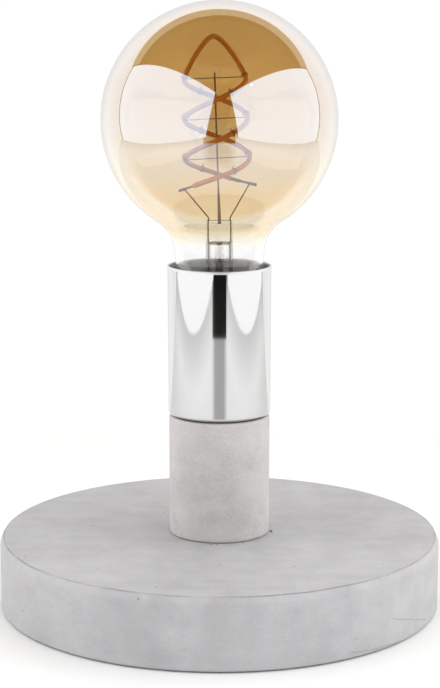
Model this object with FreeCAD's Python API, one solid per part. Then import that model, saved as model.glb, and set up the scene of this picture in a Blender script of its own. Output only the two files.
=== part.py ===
import FreeCAD, Part
import math
import os

# Table lamp: a cast concrete disc and stem carry a chromed cup, and a globe bulb screws
# into the lampholder inside the cup. Millimetres, +Z up, origin on the table under the
# middle of the disc, -Y is the front and the cable leaves at +Y.

# Concrete disc
base_radius = 90.5
base_height = 28.8
base_bevel_width = 1.3
base_bevel_drop = 2.4
base_bevel_rounding = 4.0
base_foot_rounding = 0.8
pocket_radius = 26.0
pocket_depth = 15.0
duct_radius = 5.0
duct_height = 8.6
spotface_depth = 1.4
spotface_gap = 0.4

# Pad under the disc
pad_radius = 82.0
pad_thickness = 2.0
pad_proud = 0.6
pad_gap = 0.5

# Bush in the cable inlet
bush_bore_radius = 3.3
bush_sleeve_length = 14.0
bush_flange_radius = 7.0
bush_flange_thickness = 1.2
bush_flange_rounding = 0.5

# Threaded tube through disc, stem and cup
tube_radius = 5.0
tube_bore_radius = 3.5
tube_end_proud = 2.0
tube_in_collar = 9.0
bore_gap = 0.4
thread_gap = 0.05

# Nuts and washers on the tube
nut_across_flats = 14.0
nut_height = 4.0
nut_chamfer = 0.6
base_washer_radius = 15.0
base_washer_thickness = 2.0
spring_washer_radius = 8.2
spring_washer_thickness = 1.2
spring_washer_split = 1.5
tooth_washer_radius = 8.5
tooth_washer_thickness = 0.8
tooth_count = 10
tooth_slot_width = 1.0
tooth_slot_length = 2.0

# Earth tag on the cup floor
tag_thickness = 0.6
tag_ring_radius = 8.0
tag_width = 6.3
tag_reach = 15.0
tag_height = 8.0

# Concrete stem
stem_radius = 20.6
stem_height = 49.6
stem_top_rounding = 1.2
stem_foot_rounding = 0.8

# Chromed cup
cup_rim_radius = 21.1
cup_foot_radius = 20.9
cup_height = 61.3
cup_wall = 0.8
cup_foot_rounding = 1.8
cup_lip_rounding = 0.3

# Lampholder collar and its lock screw
collar_radius = 7.0
collar_height = 10.0
collar_flange_radius = 8.5
collar_flange_thickness = 1.2
collar_gap = 0.1
grub_radius = 1.5
grub_height = 3.0
grub_gap = 0.05
grub_proud = 0.3

# Lampholder dome
dome_seat_gap = 0.5
dome_radius = 19.2
dome_wall = 1.75
dome_neck_radius = 9.5
dome_neck_height = 5.0
dome_shoulder_height = 11.8
dome_ledge_height = 16.2
dome_ledge_width = 2.0
dome_rim_height = 25.2
dome_shoulder_rounding = 4.0
dome_neck_rounding = 1.5
dome_edge_rounding = 0.4

# Ceramic contact block
core_flange_thickness = 3.0
core_gap = 0.25
core_boss_radius = 13.6
core_boss_height = 4.0
terminal_offset = 10.2
terminal_length = 4.6
terminal_width = 6.0
terminal_height = 3.6
terminal_gap = 0.2
terminal_screw_radius = 1.4
terminal_head_radius = 2.2
terminal_head_height = 1.2

# Sprung centre contact
tongue_width = 6.0
tongue_thickness = 0.4
tongue_rise = 2.9
tongue_foot = 7.4
tongue_foot_length = 2.8
tongue_crown = 1.8
tongue_gap = 0.1
rivet_radius = 0.9
rivet_gap = 0.05

# Brass screw shell of the lampholder
shell_gap = 0.35
shell_wall = 0.4
shell_height = 22.0
shell_flange_width = 4.4

# Lampholder skirt
skirt_height = 23.0
skirt_spigot_gap = 0.15
skirt_shell_gap = 0.4
skirt_mouth_height = 5.0
skirt_mouth_radius = 16.8

# Bulb cap
contact_radius = 4.6
contact_height = 1.6
contact_rounding = 1.0
contact_bore = 0.6
insulator_radius = 11.3
insulator_height = 4.0
insulator_gap = 0.05
insulator_inside = 2.4
insulator_bore = 0.6
cap_wall = 0.3
cap_thread_radius = 12.95
cap_foot_rise = 1.6
cap_thread_top = 21.0
cap_skirt_radius = 13.45
cap_skirt_rise = 1.2
cap_height = 26.5
cement_height = 3.8
cement_gap = 0.05

# Glass envelope
globe_radius = 47.5
glass_wall = 0.9
neck_radius = 18.2
neck_length = 4.4
neck_foot_radius = 17.7
neck_foot_rise = 5.2
neck_in_cap = 7.5
neck_end_radius = 12.0
neck_waist_radius = 12.3
neck_waist_rise = 0.9
neck_shoulder_radius = 16.0
neck_foot_rounding = 3.5
neck_waist_rounding = 2.0

# Glass stem that carries the light strip
flare_throat = 9.0
flare_height = 8.5
flare_rounding = 5.0
stem_tube_radius = 5.45
stem_tube_wall = 0.6
stem_tube_height = 23.2
stem_tube_rounding = 1.5
press_width = 10.8
press_thickness = 3.6
press_height = 8.2
press_rounding = 1.5
exhaust_hole_radius = 1.3
exhaust_hole_offset = 3.5
exhaust_tube_radius = 1.6
exhaust_tube_bore = 0.9
exhaust_tube_length = 22.4

# Support post
post_foot_radius = 0.75
post_foot_length = 16.0
post_shank_radius = 0.36
post_length = 60.4
post_seat = 1.4
post_lean = 1.85

# Flexible light strip
strip_radius = 1.0
strip_pitch = 31.5
strip_left_tail_pitch = 25.9
strip_right_tail_pitch = 30.0
strip_lobe_height = 25.0
strip_low_radius = 12.9
strip_top_radius = 12.25
strip_apex_rise = 16.7
strip_left_tail_turn_share = 0.38
strip_right_tail_turn_share = 0.32
arch_lobe_reach = 4.6
arch_apex_reach = 5.8
arch_apex_bearing = 45.0
arch_parts = 5
strip_turn_parts = 6
biarc_margin_share = 0.999

# Hook wires and ties that hold the strip
hook_radius = 0.18
hook_loop_radius = 1.32
hook_loop_turn = 290.0
hook_turn_share = 0.04
hook_arch_share = 0.12
tie_width = 0.3
tie_thickness = 0.3
tie_gap = 0.1
tie_part = 2
tie_tail = 0.9

# Clips at the strip's ends
clip_radius = 0.45
clip_bar_radius = 0.6
clip_bar_length = 3.0
clip_left_length = 9.2
clip_right_length = 11.2
clip_sleeve_radius = 0.68
clip_sleeve_length = 4.0
clip_left_slope_share = 0.30
clip_right_slope_share = 0.18

# Lead wires
lead_radius = 0.3
lead_offset = 4.3
lead_bend_radius = 1.5
lead_bend_height = 1.0
lead_end_height = 14.0

# Driver inside the cap
board_width = 18.0
board_height = 9.5
board_thickness = 1.0
board_offset = 0.4
capacitor_radius = 2.9
capacitor_length = 8.0
capacitor_side = 3.0
capacitor_lift = 5.0
chip_length = 5.0
chip_width = 4.0
chip_height = 1.5
chip_side = 5.0
chip_lift = 4.5
contact_wire_radius = 0.35
contact_wire_rise = 1.0

# Cutting tools run past the surfaces by this much
overrun = 1.0

# Half a turn, in degrees
half_turn = 180.0
full_turn = 360.0
loop_parts = 4
hook_levels = 3

# Two outline points closer than this are one point
same_point = 0.000001

# Points along the strip at which the gap between its turns is measured
gap_samples = 600

# Heights that follow from the sizes above, from the table up
base_bottom = pad_proud
base_top = base_bottom + base_height
pocket_top = base_bottom + pocket_depth
duct_z = base_bottom + duct_height
base_washer_z = pocket_top - base_washer_thickness
spring_washer_z = base_washer_z - spring_washer_thickness
base_nut_z = spring_washer_z - nut_height
tube_bottom = base_nut_z - tube_end_proud
stem_top = base_top + stem_height
cup_floor = stem_top + cup_wall
cup_top = stem_top + cup_height
tag_z = cup_floor + tooth_washer_thickness
cup_nut_z = tag_z + tag_thickness
collar_z = cup_nut_z + nut_height
tube_top = collar_z + tube_in_collar
dome_z = collar_z + dome_seat_gap
ledge_z = dome_z + dome_ledge_height
dome_rim = dome_z + dome_rim_height
core_top = ledge_z + core_flange_thickness
tip_z = core_top + tongue_rise + tongue_gap
cap_foot = tip_z + contact_height + insulator_gap + insulator_height
cap_top = tip_z + cap_height
insulator_z = tip_z + contact_height + insulator_gap
insulator_top = cap_foot + insulator_inside
neck_waist_z = cap_top + neck_waist_rise
neck_foot_z = neck_waist_z + neck_foot_rise
neck_top = neck_foot_z + neck_length
neck_end = cap_top - neck_in_cap
globe_drop = math.sqrt((globe_radius + neck_shoulder_radius) ** 2
                       - (neck_radius + neck_shoulder_radius) ** 2)
globe_z = neck_top + globe_drop
press_z = neck_end + stem_tube_height
press_top = press_z + press_height
lobe_z = press_top + strip_lobe_height
apex_z = lobe_z + strip_pitch + strip_apex_rise
lead_end = tip_z + lead_end_height

UP = FreeCAD.Vector(0, 0, 1)
ORIGIN = FreeCAD.Vector(0, 0, 0)


def point(x, y, z):
    """Point or direction from its three coordinates."""
    return FreeCAD.Vector(x, y, z)


def bearing(angle):
    """Level unit direction at an angle in degrees, counted from +X towards +Y."""
    return point(math.cos(math.radians(angle)), math.sin(math.radians(angle)), 0)


# Solids of revolution and rounded outlines

def corner_arc(before, at, after, rounding):
    """Start, middle and end of the arc that rounds one corner, or the corner itself."""
    if rounding == 0:
        return at, None, at
    back = (before - at).normalize()
    ahead = (after - at).normalize()
    half = back.getAngle(ahead) / 2
    reach = rounding / math.tan(half)
    inward = (back + ahead).normalize()
    middle = at + inward * (rounding / math.sin(half) - rounding)
    return at + back * reach, middle, at + ahead * reach


def closed_wire(corners):
    """Closed wire through (point, rounding) corners, each rounding a true arc."""
    count = len(corners)
    arcs = []
    for index in range(count):
        before = corners[index - 1][0]
        after = corners[(index + 1) % count][0]
        arcs.append(corner_arc(before, corners[index][0], after, corners[index][1]))
    edges = []
    for index in range(count):
        start, middle, end = arcs[index]
        if middle is not None:
            edges.append(Part.Arc(start, middle, end).toShape())
        following = arcs[(index + 1) % count][0]
        if (following - end).Length > same_point:
            edges.append(Part.LineSegment(end, following).toShape())
    return Part.Wire(edges)


def turned(outline):
    """Solid turned about the Z axis from (radius, height, rounding) corners."""
    corners = [(point(radius, 0, height), rounding) for radius, height, rounding in outline]
    return Part.Face(closed_wire(corners)).revolve(ORIGIN, UP, full_turn)


def ring(inner, outer, bottom, height):
    """Plain ring about the Z axis."""
    disc = Part.makeCylinder(outer, height, point(0, 0, bottom))
    hole = Part.makeCylinder(inner, height + 2 * overrun, point(0, 0, bottom - overrun))
    return disc.cut(hole)


def block(length, width, height, centre_x, centre_y, bottom):
    """Box centred in plan on a point, standing on a height."""
    corner = point(centre_x - length / 2, centre_y - width / 2, bottom)
    return Part.makeBox(length, width, height, corner)


# Wires and tubes swept along lines and arcs

def swept(edges, radius):
    """Round tube along joined edges."""
    path = Part.Wire(edges)
    first = path.OrderedEdges[0]
    start = first.valueAt(first.FirstParameter)
    heading = first.tangentAt(first.FirstParameter)
    section = Part.Wire([Part.makeCircle(radius, start, heading)])
    return path.makePipeShell([section], True, False)


def bent_wire(corners, radius):
    """Round wire along (point, bend radius) corners, open at both ends."""
    edges = []
    here = corners[0][0]
    for index in range(1, len(corners) - 1):
        before, at, after = corners[index - 1][0], corners[index][0], corners[index + 1][0]
        start, middle, end = corner_arc(before, at, after, corners[index][1])
        edges.append(Part.LineSegment(here, start).toShape())
        edges.append(Part.Arc(start, middle, end).toShape())
        here = end
    edges.append(Part.LineSegment(here, corners[-1][0]).toShape())
    return swept(edges, radius)


def tangent_arc(start, corner, end):
    """Arc from start to end whose end tangents meet in the corner point."""
    chord = end - start
    middle = (start + end) * 0.5
    out = corner - middle
    if out.Length < chord.Length * (1 - biarc_margin_share):
        return Part.LineSegment(start, end).toShape()
    half = (corner - start).getAngle(chord)
    sagitta = chord.Length / 2 * math.tan(half / 2)
    return Part.Arc(start, middle + out.normalize() * sagitta, end).toShape()


def biarc(start, heading, end, arrival):
    """Two arcs in space that join two points along their unit tangents."""
    chord = end - start
    both = heading + arrival
    spread = 2 * (1 - heading.dot(arrival))
    along = chord.dot(both)
    square = chord.dot(chord)
    reach = (math.sqrt(along * along + spread * square) - along) / spread
    first = start + heading * reach
    last = end - arrival * reach
    joint = (first + last) * 0.5
    return [tangent_arc(start, first, joint), tangent_arc(joint, last, end)]


# Concrete base, pad and cable bush

def make_base():
    recess_top = base_bottom + pad_thickness - pad_proud
    bore = tube_radius + bore_gap
    body = turned([
        (0, base_bottom, 0),
        (base_radius, base_bottom, base_foot_rounding),
        (base_radius, base_top - base_bevel_drop, base_bevel_rounding),
        (base_radius - base_bevel_width, base_top, 0),
        (0, base_top, 0)])
    recess = Part.makeCylinder(pad_radius + pad_gap, recess_top - base_bottom + overrun,
                               point(0, 0, base_bottom - overrun))
    pocket = Part.makeCylinder(pocket_radius, pocket_depth, point(0, 0, base_bottom))
    hole = Part.makeCylinder(bore, base_height + 2 * overrun, point(0, 0, base_bottom - overrun))
    rear = point(0, 1, 0)
    duct = Part.makeCylinder(duct_radius, base_radius, point(0, 0, duct_z), rear)
    seat = point(0, base_radius - spotface_depth, duct_z)
    spotface = Part.makeCylinder(bush_flange_radius + spotface_gap, spotface_depth + overrun, seat, rear)
    return body.cut(recess.fuse(pocket)).cut(hole).cut(duct).cut(spotface)


def make_pad():
    return Part.makeCylinder(pad_radius, pad_thickness, ORIGIN)


def make_bush():
    seat = base_radius - spotface_depth
    outline = [
        (bush_bore_radius, -bush_sleeve_length, 0),
        (duct_radius, -bush_sleeve_length, 0),
        (duct_radius, 0, 0),
        (bush_flange_radius, 0, 0),
        (bush_flange_radius, bush_flange_thickness, bush_flange_rounding),
        (bush_bore_radius, bush_flange_thickness, bush_flange_rounding)]
    bush = turned(outline)
    bush.rotate(ORIGIN, point(1, 0, 0), -90)
    bush.translate(point(0, seat, duct_z))
    return bush


# Threaded tube with its nuts and washers

def make_tube():
    return ring(tube_bore_radius, tube_radius, tube_bottom, tube_top - tube_bottom)


def make_nut(bottom):
    corner_radius = nut_across_flats / math.sqrt(3)
    flat_radius = nut_across_flats / 2
    top = bottom + nut_height
    hexagon = Part.makePolygon([bearing(60 * side) * corner_radius for side in range(7)])
    prism = Part.Face(hexagon).extrude(UP * nut_height)
    prism.translate(UP * bottom)
    bevelled = turned([
        (0, bottom, 0),
        (flat_radius, bottom, 0),
        (corner_radius, bottom + nut_chamfer, 0),
        (corner_radius, top - nut_chamfer, 0),
        (flat_radius, top, 0),
        (0, top, 0)])
    hole = Part.makeCylinder(tube_radius + thread_gap, nut_height + 2 * overrun,
                             point(0, 0, bottom - overrun))
    return prism.common(bevelled).cut(hole)


def make_spring_washer():
    washer = ring(tube_radius + bore_gap, spring_washer_radius, spring_washer_z, spring_washer_thickness)
    split = block(spring_washer_radius + overrun, spring_washer_split,
                  spring_washer_thickness + 2 * overrun,
                  (spring_washer_radius + overrun) / 2, 0, spring_washer_z - overrun)
    return washer.cut(split)


def make_tooth_washer():
    washer = ring(tube_radius + bore_gap, tooth_washer_radius, cup_floor, tooth_washer_thickness)
    slot_start = tooth_washer_radius - tooth_slot_length
    slot = block(tooth_slot_length + overrun, tooth_slot_width, tooth_washer_thickness + 2 * overrun,
                 slot_start + (tooth_slot_length + overrun) / 2, 0, cup_floor - overrun)
    slots = []
    for index in range(tooth_count):
        turned_slot = slot.copy()
        turned_slot.rotate(ORIGIN, UP, full_turn / tooth_count * index)
        slots.append(turned_slot)
    return washer.cut(slots)


def make_earth_tag():
    disc = Part.makeCylinder(tag_ring_radius, tag_thickness, point(0, 0, tag_z))
    arm = block(tag_reach, tag_width, tag_thickness, tag_reach / 2, 0, tag_z)
    blade = block(tag_thickness, tag_width, tag_height, tag_reach - tag_thickness / 2, 0, tag_z)
    hole = Part.makeCylinder(tube_radius + bore_gap, tag_thickness + 2 * overrun,
                             point(0, 0, tag_z - overrun))
    return disc.fuse(arm).fuse(blade).cut(hole).removeSplitter()


# Stem and cup

def make_stem():
    bore = tube_radius + bore_gap
    return turned([
        (bore, base_top, 0),
        (stem_radius, base_top, stem_foot_rounding),
        (stem_radius, stem_top, stem_top_rounding),
        (bore, stem_top, 0)])


def make_cup():
    return turned([
        (tube_radius + bore_gap, stem_top, 0),
        (cup_foot_radius, stem_top, cup_foot_rounding),
        (cup_rim_radius, cup_top, cup_lip_rounding),
        (cup_rim_radius - cup_wall, cup_top, cup_lip_rounding),
        (cup_foot_radius - cup_wall, cup_floor, cup_foot_rounding - cup_wall),
        (tube_radius + bore_gap, cup_floor, 0)])


# Lampholder

def make_collar():
    bore = tube_radius + thread_gap
    top = collar_z + collar_height
    collar = turned([
        (bore, collar_z, 0),
        (collar_radius, collar_z, 0),
        (collar_radius, top - collar_flange_thickness, 0),
        (collar_flange_radius, top - collar_flange_thickness, 0),
        (collar_flange_radius, top, 0),
        (bore, top, 0)])
    return collar.cut(grub_cylinder(grub_radius + grub_gap, dome_neck_radius))


def grub_cylinder(radius, length):
    """Cylinder along the lock screw's axis, from the tube outwards to the rear."""
    height = dome_z + grub_height
    return Part.makeCylinder(radius, length - tube_radius, point(0, tube_radius, height), point(0, 1, 0))


def make_grub():
    grub = grub_cylinder(grub_radius, dome_neck_radius + grub_proud)
    return grub.cut(Part.makeCylinder(tube_radius + grub_gap, dome_neck_height + dome_z,
                                      ORIGIN))


def make_dome():
    inner = dome_radius - dome_wall
    ledge = inner - dome_ledge_width
    floor = collar_z + collar_height - collar_flange_thickness
    shoulder = dome_z + dome_shoulder_height
    bore = collar_radius + collar_gap
    dome = turned([
        (bore, dome_z, 0),
        (dome_neck_radius, dome_z, dome_edge_rounding),
        (dome_neck_radius, dome_z + dome_neck_height, dome_neck_rounding),
        (dome_radius, shoulder, dome_shoulder_rounding),
        (dome_radius, dome_rim, dome_edge_rounding),
        (inner, dome_rim, dome_edge_rounding),
        (inner, ledge_z, 0),
        (ledge, ledge_z, 0),
        (ledge, shoulder + dome_wall, dome_neck_rounding),
        (collar_flange_radius + dome_wall, floor, 0),
        (bore, floor, 0)])
    return dome.cut(grub_cylinder(grub_radius + grub_gap, dome_radius))


def terminal_places():
    return [-terminal_offset, terminal_offset]


def make_core():
    flange = Part.makeCylinder(dome_radius - dome_wall - core_gap, core_flange_thickness,
                               point(0, 0, ledge_z))
    boss = Part.makeCylinder(core_boss_radius, core_boss_height, point(0, 0, ledge_z - core_boss_height))
    core = flange.fuse(boss).removeSplitter()
    slot_length = terminal_length + 2 * terminal_gap
    slot_width = terminal_width + 2 * terminal_gap
    for place in terminal_places():
        core = core.cut(block(slot_length, slot_width, core_boss_height + overrun,
                              place, 0, ledge_z - core_boss_height - overrun))
    return core.cut(rivet(rivet_radius + rivet_gap, overrun))


def make_terminals():
    bottom = ledge_z - terminal_height
    blocks = []
    for place in terminal_places():
        terminal = block(terminal_length, terminal_width, terminal_height, place, 0, bottom)
        hole = Part.makeCylinder(terminal_screw_radius, terminal_height + overrun,
                                 point(place, 0, bottom - overrun))
        blocks.append(terminal.cut(hole))
    return Part.makeCompound(blocks)


def make_terminal_screws():
    bottom = ledge_z - terminal_height
    screws = []
    for place in terminal_places():
        shank = Part.makeCylinder(terminal_screw_radius, terminal_height - terminal_gap,
                                  point(place, 0, bottom))
        head = Part.makeCylinder(terminal_head_radius, terminal_head_height,
                                 point(place, 0, bottom - terminal_head_height))
        slot = block(2 * terminal_head_radius, terminal_gap * 3, terminal_head_height / 2,
                     place, 0, bottom - terminal_head_height)
        screws.append(shank.fuse(head).cut(slot).removeSplitter())
    return Part.makeCompound(screws)


def rivet(radius, extra):
    """Rivet that holds the tongue's foot to the contact block."""
    place = tongue_foot_length / 2 - tongue_foot
    bottom = ledge_z - core_boss_height - extra
    return Part.makeCylinder(radius, core_top - bottom + tongue_thickness, point(place, 0, bottom))


def make_tongue():
    top = core_top + tongue_rise
    ankle = tongue_foot_length - tongue_foot
    under = [
        point(-tongue_foot, 0, core_top),
        point(ankle, 0, core_top),
        point(-tongue_crown, 0, top - tongue_thickness),
        point(tongue_crown, 0, top - tongue_thickness),
        point(2 * tongue_crown, 0, top - 3 * tongue_thickness)]
    over = [corner + UP * tongue_thickness for corner in reversed(under)]
    outline = Part.makePolygon(under + over + [under[0]])
    tongue = Part.Face(outline).extrude(point(0, tongue_width, 0))
    tongue.translate(point(0, -tongue_width / 2, 0))
    return tongue.fuse(rivet(rivet_radius, 0)).removeSplitter()


def make_socket_shell():
    inner = cap_thread_radius + shell_gap
    outer = inner + shell_wall
    return turned([
        (outer - shell_flange_width, core_top, 0),
        (outer, core_top, shell_wall),
        (outer, core_top + shell_height, 0),
        (inner, core_top + shell_height, 0),
        (inner, core_top + shell_wall, 0),
        (outer - shell_flange_width, core_top + shell_wall, 0)])


def make_skirt():
    spigot = dome_radius - dome_wall - skirt_spigot_gap
    inner = cap_thread_radius + shell_gap + shell_wall + skirt_shell_gap
    top = dome_rim + skirt_height
    return turned([
        (inner, core_top, 0),
        (spigot, core_top, 0),
        (spigot, dome_rim, 0),
        (dome_radius, dome_rim, dome_edge_rounding),
        (dome_radius, top, dome_edge_rounding),
        (skirt_mouth_radius, top, dome_edge_rounding),
        (inner, top - skirt_mouth_height, dome_edge_rounding)])


# Bulb cap

def make_contact():
    top = tip_z + contact_height
    cap = turned([
        (0, tip_z, 0),
        (contact_radius, tip_z, contact_rounding),
        (contact_radius, top, 0),
        (0, top, 0)])
    return cap.cut(Part.makeCylinder(contact_bore, contact_height, point(0, 0, top - contact_height / 2)))


def make_insulator():
    inside = insulator_radius - 2 * cap_wall
    return turned([
        (insulator_bore, insulator_z, 0),
        (contact_radius, insulator_z, 0),
        (insulator_radius, cap_foot, 0),
        (inside, cap_foot, 0),
        (inside, insulator_top, 0),
        (insulator_bore, insulator_top, 0)])


def cap_outline(inset):
    """Corners of the cap's outside, moved inwards by an inset."""
    foot_radius = insulator_radius + cap_wall / 2
    thread_top = tip_z + cap_thread_top
    return [
        (foot_radius - inset, cap_foot, 0),
        (cap_thread_radius - inset, cap_foot + cap_foot_rise, 0),
        (cap_thread_radius - inset, thread_top, 0),
        (cap_skirt_radius - inset, thread_top + cap_skirt_rise, 0),
        (cap_skirt_radius - inset, cap_top, 0)]


def make_cap_shell():
    return turned(cap_outline(0) + list(reversed(cap_outline(cap_wall))))


def make_cement():
    outer = cap_skirt_radius - cap_wall
    inner = neck_waist_radius + cement_gap
    return ring(inner, outer, cap_top - cement_height, cement_height)


# Glass envelope

def glass_solid(inset):
    """Solid inside the envelope's surface, moved inwards by an inset."""
    ball = globe_radius - inset
    neck = neck_radius - inset
    shoulder = neck_shoulder_radius + inset
    across = neck + shoulder
    touch = ball / (ball + shoulder)
    seam = point(across * touch, 0, globe_z - globe_drop * touch)
    half_angle = math.atan2(globe_drop, across) / 2
    waist = shoulder * math.cos(half_angle)
    rise = shoulder * math.sin(half_angle)
    shoulder_arc = Part.Arc(point(neck, 0, neck_top), point(across - waist, 0, neck_top + rise), seam)
    ball_arc = Part.Arc(seam, point(ball, 0, globe_z), point(0, 0, globe_z + ball))
    foot = point(neck_foot_radius - inset, 0, neck_foot_z)
    waist_point = point(neck_waist_radius - inset, 0, neck_waist_z)
    end = point(neck_end_radius - inset, 0, neck_end)
    foot_arc = corner_arc(point(neck, 0, neck_top), foot, waist_point, neck_foot_rounding)
    waist_arc = corner_arc(foot, waist_point, end, neck_waist_rounding)
    edges = [
        ball_arc.toShape(),
        shoulder_arc.toShape(),
        Part.LineSegment(point(neck, 0, neck_top), foot_arc[0]).toShape(),
        Part.Arc(*foot_arc).toShape(),
        Part.LineSegment(foot_arc[2], waist_arc[0]).toShape(),
        Part.Arc(*waist_arc).toShape(),
        Part.LineSegment(waist_arc[2], end).toShape(),
        Part.LineSegment(end, point(0, 0, neck_end)).toShape(),
        Part.LineSegment(point(0, 0, neck_end), point(0, 0, globe_z + ball)).toShape()]
    outline = Part.Wire(Part.sortEdges(edges)[0])
    return Part.Face(outline).revolve(ORIGIN, UP, full_turn)


def make_globe():
    return glass_solid(0).cut(glass_solid(glass_wall))


# Glass stem, exhaust tube and post

def make_glass_stem(holes):
    inner = stem_tube_radius - stem_tube_wall
    throat_z = neck_end + flare_height
    tube = turned([
        (neck_end_radius, neck_end - stem_tube_wall, 0),
        (neck_end_radius, neck_end, 0),
        (flare_throat, neck_end, flare_rounding / 2),
        (stem_tube_radius, throat_z, flare_rounding),
        (stem_tube_radius, press_z, stem_tube_rounding),
        (0, press_z, 0),
        (0, press_z - stem_tube_wall, 0),
        (inner, press_z - stem_tube_wall, stem_tube_rounding - stem_tube_wall),
        (inner, throat_z - stem_tube_wall, flare_rounding + stem_tube_wall),
        (flare_throat - stem_tube_wall, neck_end - stem_tube_wall, flare_rounding / 2)])
    press = block(press_width, press_thickness, press_height + stem_tube_wall / 2,
                  0, 0, press_z - stem_tube_wall / 2)
    upright = [edge for edge in press.Edges if abs(edge.tangentAt(edge.FirstParameter).z) > 0.5]
    press = press.makeFillet(press_rounding, upright)
    exhaust = Part.makeCylinder(exhaust_hole_radius, stem_tube_wall + 2 * overrun,
                                point(0, -exhaust_hole_offset, press_z - stem_tube_wall - overrun))
    return tube.fuse(press).cut(exhaust).cut(holes)


def make_exhaust_tube():
    top = press_z - stem_tube_wall
    bottom = top - exhaust_tube_length
    return turned([
        (0, bottom, 0),
        (exhaust_tube_radius, bottom, exhaust_tube_bore),
        (exhaust_tube_radius, top, 0),
        (exhaust_tube_bore, top, 0),
        (exhaust_tube_bore, bottom + exhaust_tube_bore, 0),
        (0, bottom + exhaust_tube_bore, 0)])


def leaned(shape):
    """Copy of a shape that leans with the post, about the top of the glass press."""
    copy = shape.copy()
    copy.rotate(point(0, 0, press_top), point(0, 1, 0), -post_lean)
    return copy


def leaned_point(place):
    """Place of a point of the strip once the post leans."""
    foot = point(0, 0, press_top)
    return foot + FreeCAD.Rotation(point(0, 1, 0), -post_lean).multVec(place - foot)


def make_post(holes):
    foot = press_top - post_seat
    post = Part.makeCone(post_foot_radius, post_shank_radius, post_foot_length, point(0, 0, foot))
    shank = Part.makeCylinder(post_shank_radius, post_length - post_foot_length,
                              point(0, 0, foot + post_foot_length))
    return leaned(post.fuse(shank).removeSplitter().cut(holes))


# Light strip: a double helix of one strip that turns over at the top

def strip_pitch_at(side, angle):
    """Pitch of one leg: the tail below its lowest lobe is flatter."""
    if angle > 0:
        return strip_pitch
    return strip_right_tail_pitch if side else strip_left_tail_pitch


def strip_state(side, angle):
    """Point and unit tangent of one leg; angle counts from its lowest lobe, in degrees."""
    turn = angle / full_turn
    pitch = strip_pitch_at(side, angle)
    radius = strip_low_radius + (strip_top_radius - strip_low_radius) * max(turn, 0)
    out = bearing(side + angle)
    place = out * radius + UP * (lobe_z + pitch * turn)
    heading = UP.cross(out) * (2 * math.pi * radius) + UP * pitch
    return place, heading.normalize()


def arch_state(side, share):
    """Point and unit tangent of one leg's arch, from its top lobe to the shared apex."""
    start, heading = strip_state(side, full_turn)
    apex = point(0, 0, apex_z)
    arrival = bearing(side + half_turn + arch_apex_bearing)
    nodes = [start, start + heading * arch_lobe_reach, apex - arrival * arch_apex_reach, apex]
    rest = 1 - share
    weights = [rest ** 3, 3 * rest ** 2 * share, 3 * rest * share ** 2, share ** 3]
    slopes = [rest ** 2, 2 * rest * share, share ** 2]
    place = sum((node * weight for node, weight in zip(nodes, weights)), ORIGIN)
    steps = [nodes[index + 1] - nodes[index] for index in range(3)]
    heading = sum((step * slope for step, slope in zip(steps, slopes)), ORIGIN)
    return place, heading.normalize()


def leg_states(side, tail_share):
    """States of one leg from its free end up to the apex."""
    part_turn = full_turn / strip_turn_parts
    angles = [-full_turn * tail_share, -part_turn]
    angles += [part_turn * step for step in range(strip_turn_parts + 1)]
    states = [strip_state(side, angle) for angle in angles]
    states += [arch_state(side, (step + 1) / arch_parts) for step in range(arch_parts)]
    return states


def strip_states():
    """States along the whole strip, up the right leg and down the left one."""
    right = leg_states(0, strip_left_tail_turn_share)
    left = leg_states(half_turn, strip_right_tail_turn_share)
    down = [(place, heading * -1) for place, heading in reversed(left[:-1])]
    return right + down


def strip_edges():
    states = strip_states()
    edges = []
    for (start, heading), (end, arrival) in zip(states, states[1:]):
        edges += biarc(start, heading, end, arrival)
    return edges


def make_strip():
    return leaned(swept(strip_edges(), strip_radius))


def print_least_gap():
    """Least gap between turns of the strip, measured on points along its centre line."""
    path = Part.Wire(strip_edges())
    samples = path.discretize(Number=gap_samples)
    apart = int(math.ceil(2 * math.pi * strip_radius * gap_samples / path.Length))
    gap = min((a - b).Length for i, a in enumerate(samples) for b in samples[i + apart:])
    print("least gap between turns of the strip:", round(gap - 2 * strip_radius, 2), "mm")


# Hook wires, ties, clips and lead wires

def held_state(side, level):
    """Point and unit tangent where a hook wire holds one leg, a little above its lobe."""
    if level < hook_levels - 1:
        return strip_state(side, half_turn * level + full_turn * hook_turn_share)
    return arch_state(side, hook_arch_share)


def loop_places(side, level):
    """Points round the strip, square to it, from below it and outwards."""
    centre, heading = held_state(side, level)
    out = point(centre.x, centre.y, 0)
    out = (out - heading * out.dot(heading)).normalize()
    rise = out.cross(heading)
    if rise.z < 0:
        rise = rise * -1
    part = math.radians(hook_loop_turn) / loop_parts
    angles = [part * step - math.pi / 2 for step in range(loop_parts + 1)]
    return [centre + (out * math.cos(angle) + rise * math.sin(angle)) * hook_loop_radius
            for angle in angles]


def loop_edges(places):
    """Two arcs through the points of a loop."""
    middle = loop_parts // 2
    half = middle // 2
    return [Part.Arc(places[0], places[half], places[middle]).toShape(),
            Part.Arc(places[middle], places[middle + half], places[-1]).toShape()]


def make_hook_wire(level):
    """One support wire: straight through the post, looped round the strip above both lobes."""
    right = loop_places(half_turn * (level % 2), level)
    left = loop_places(half_turn * (1 - level % 2), level)
    edges = loop_edges(left[::-1])
    edges.append(Part.LineSegment(left[0], right[0]).toShape())
    edges += loop_edges(right)
    return swept(edges, hook_radius)


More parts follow.
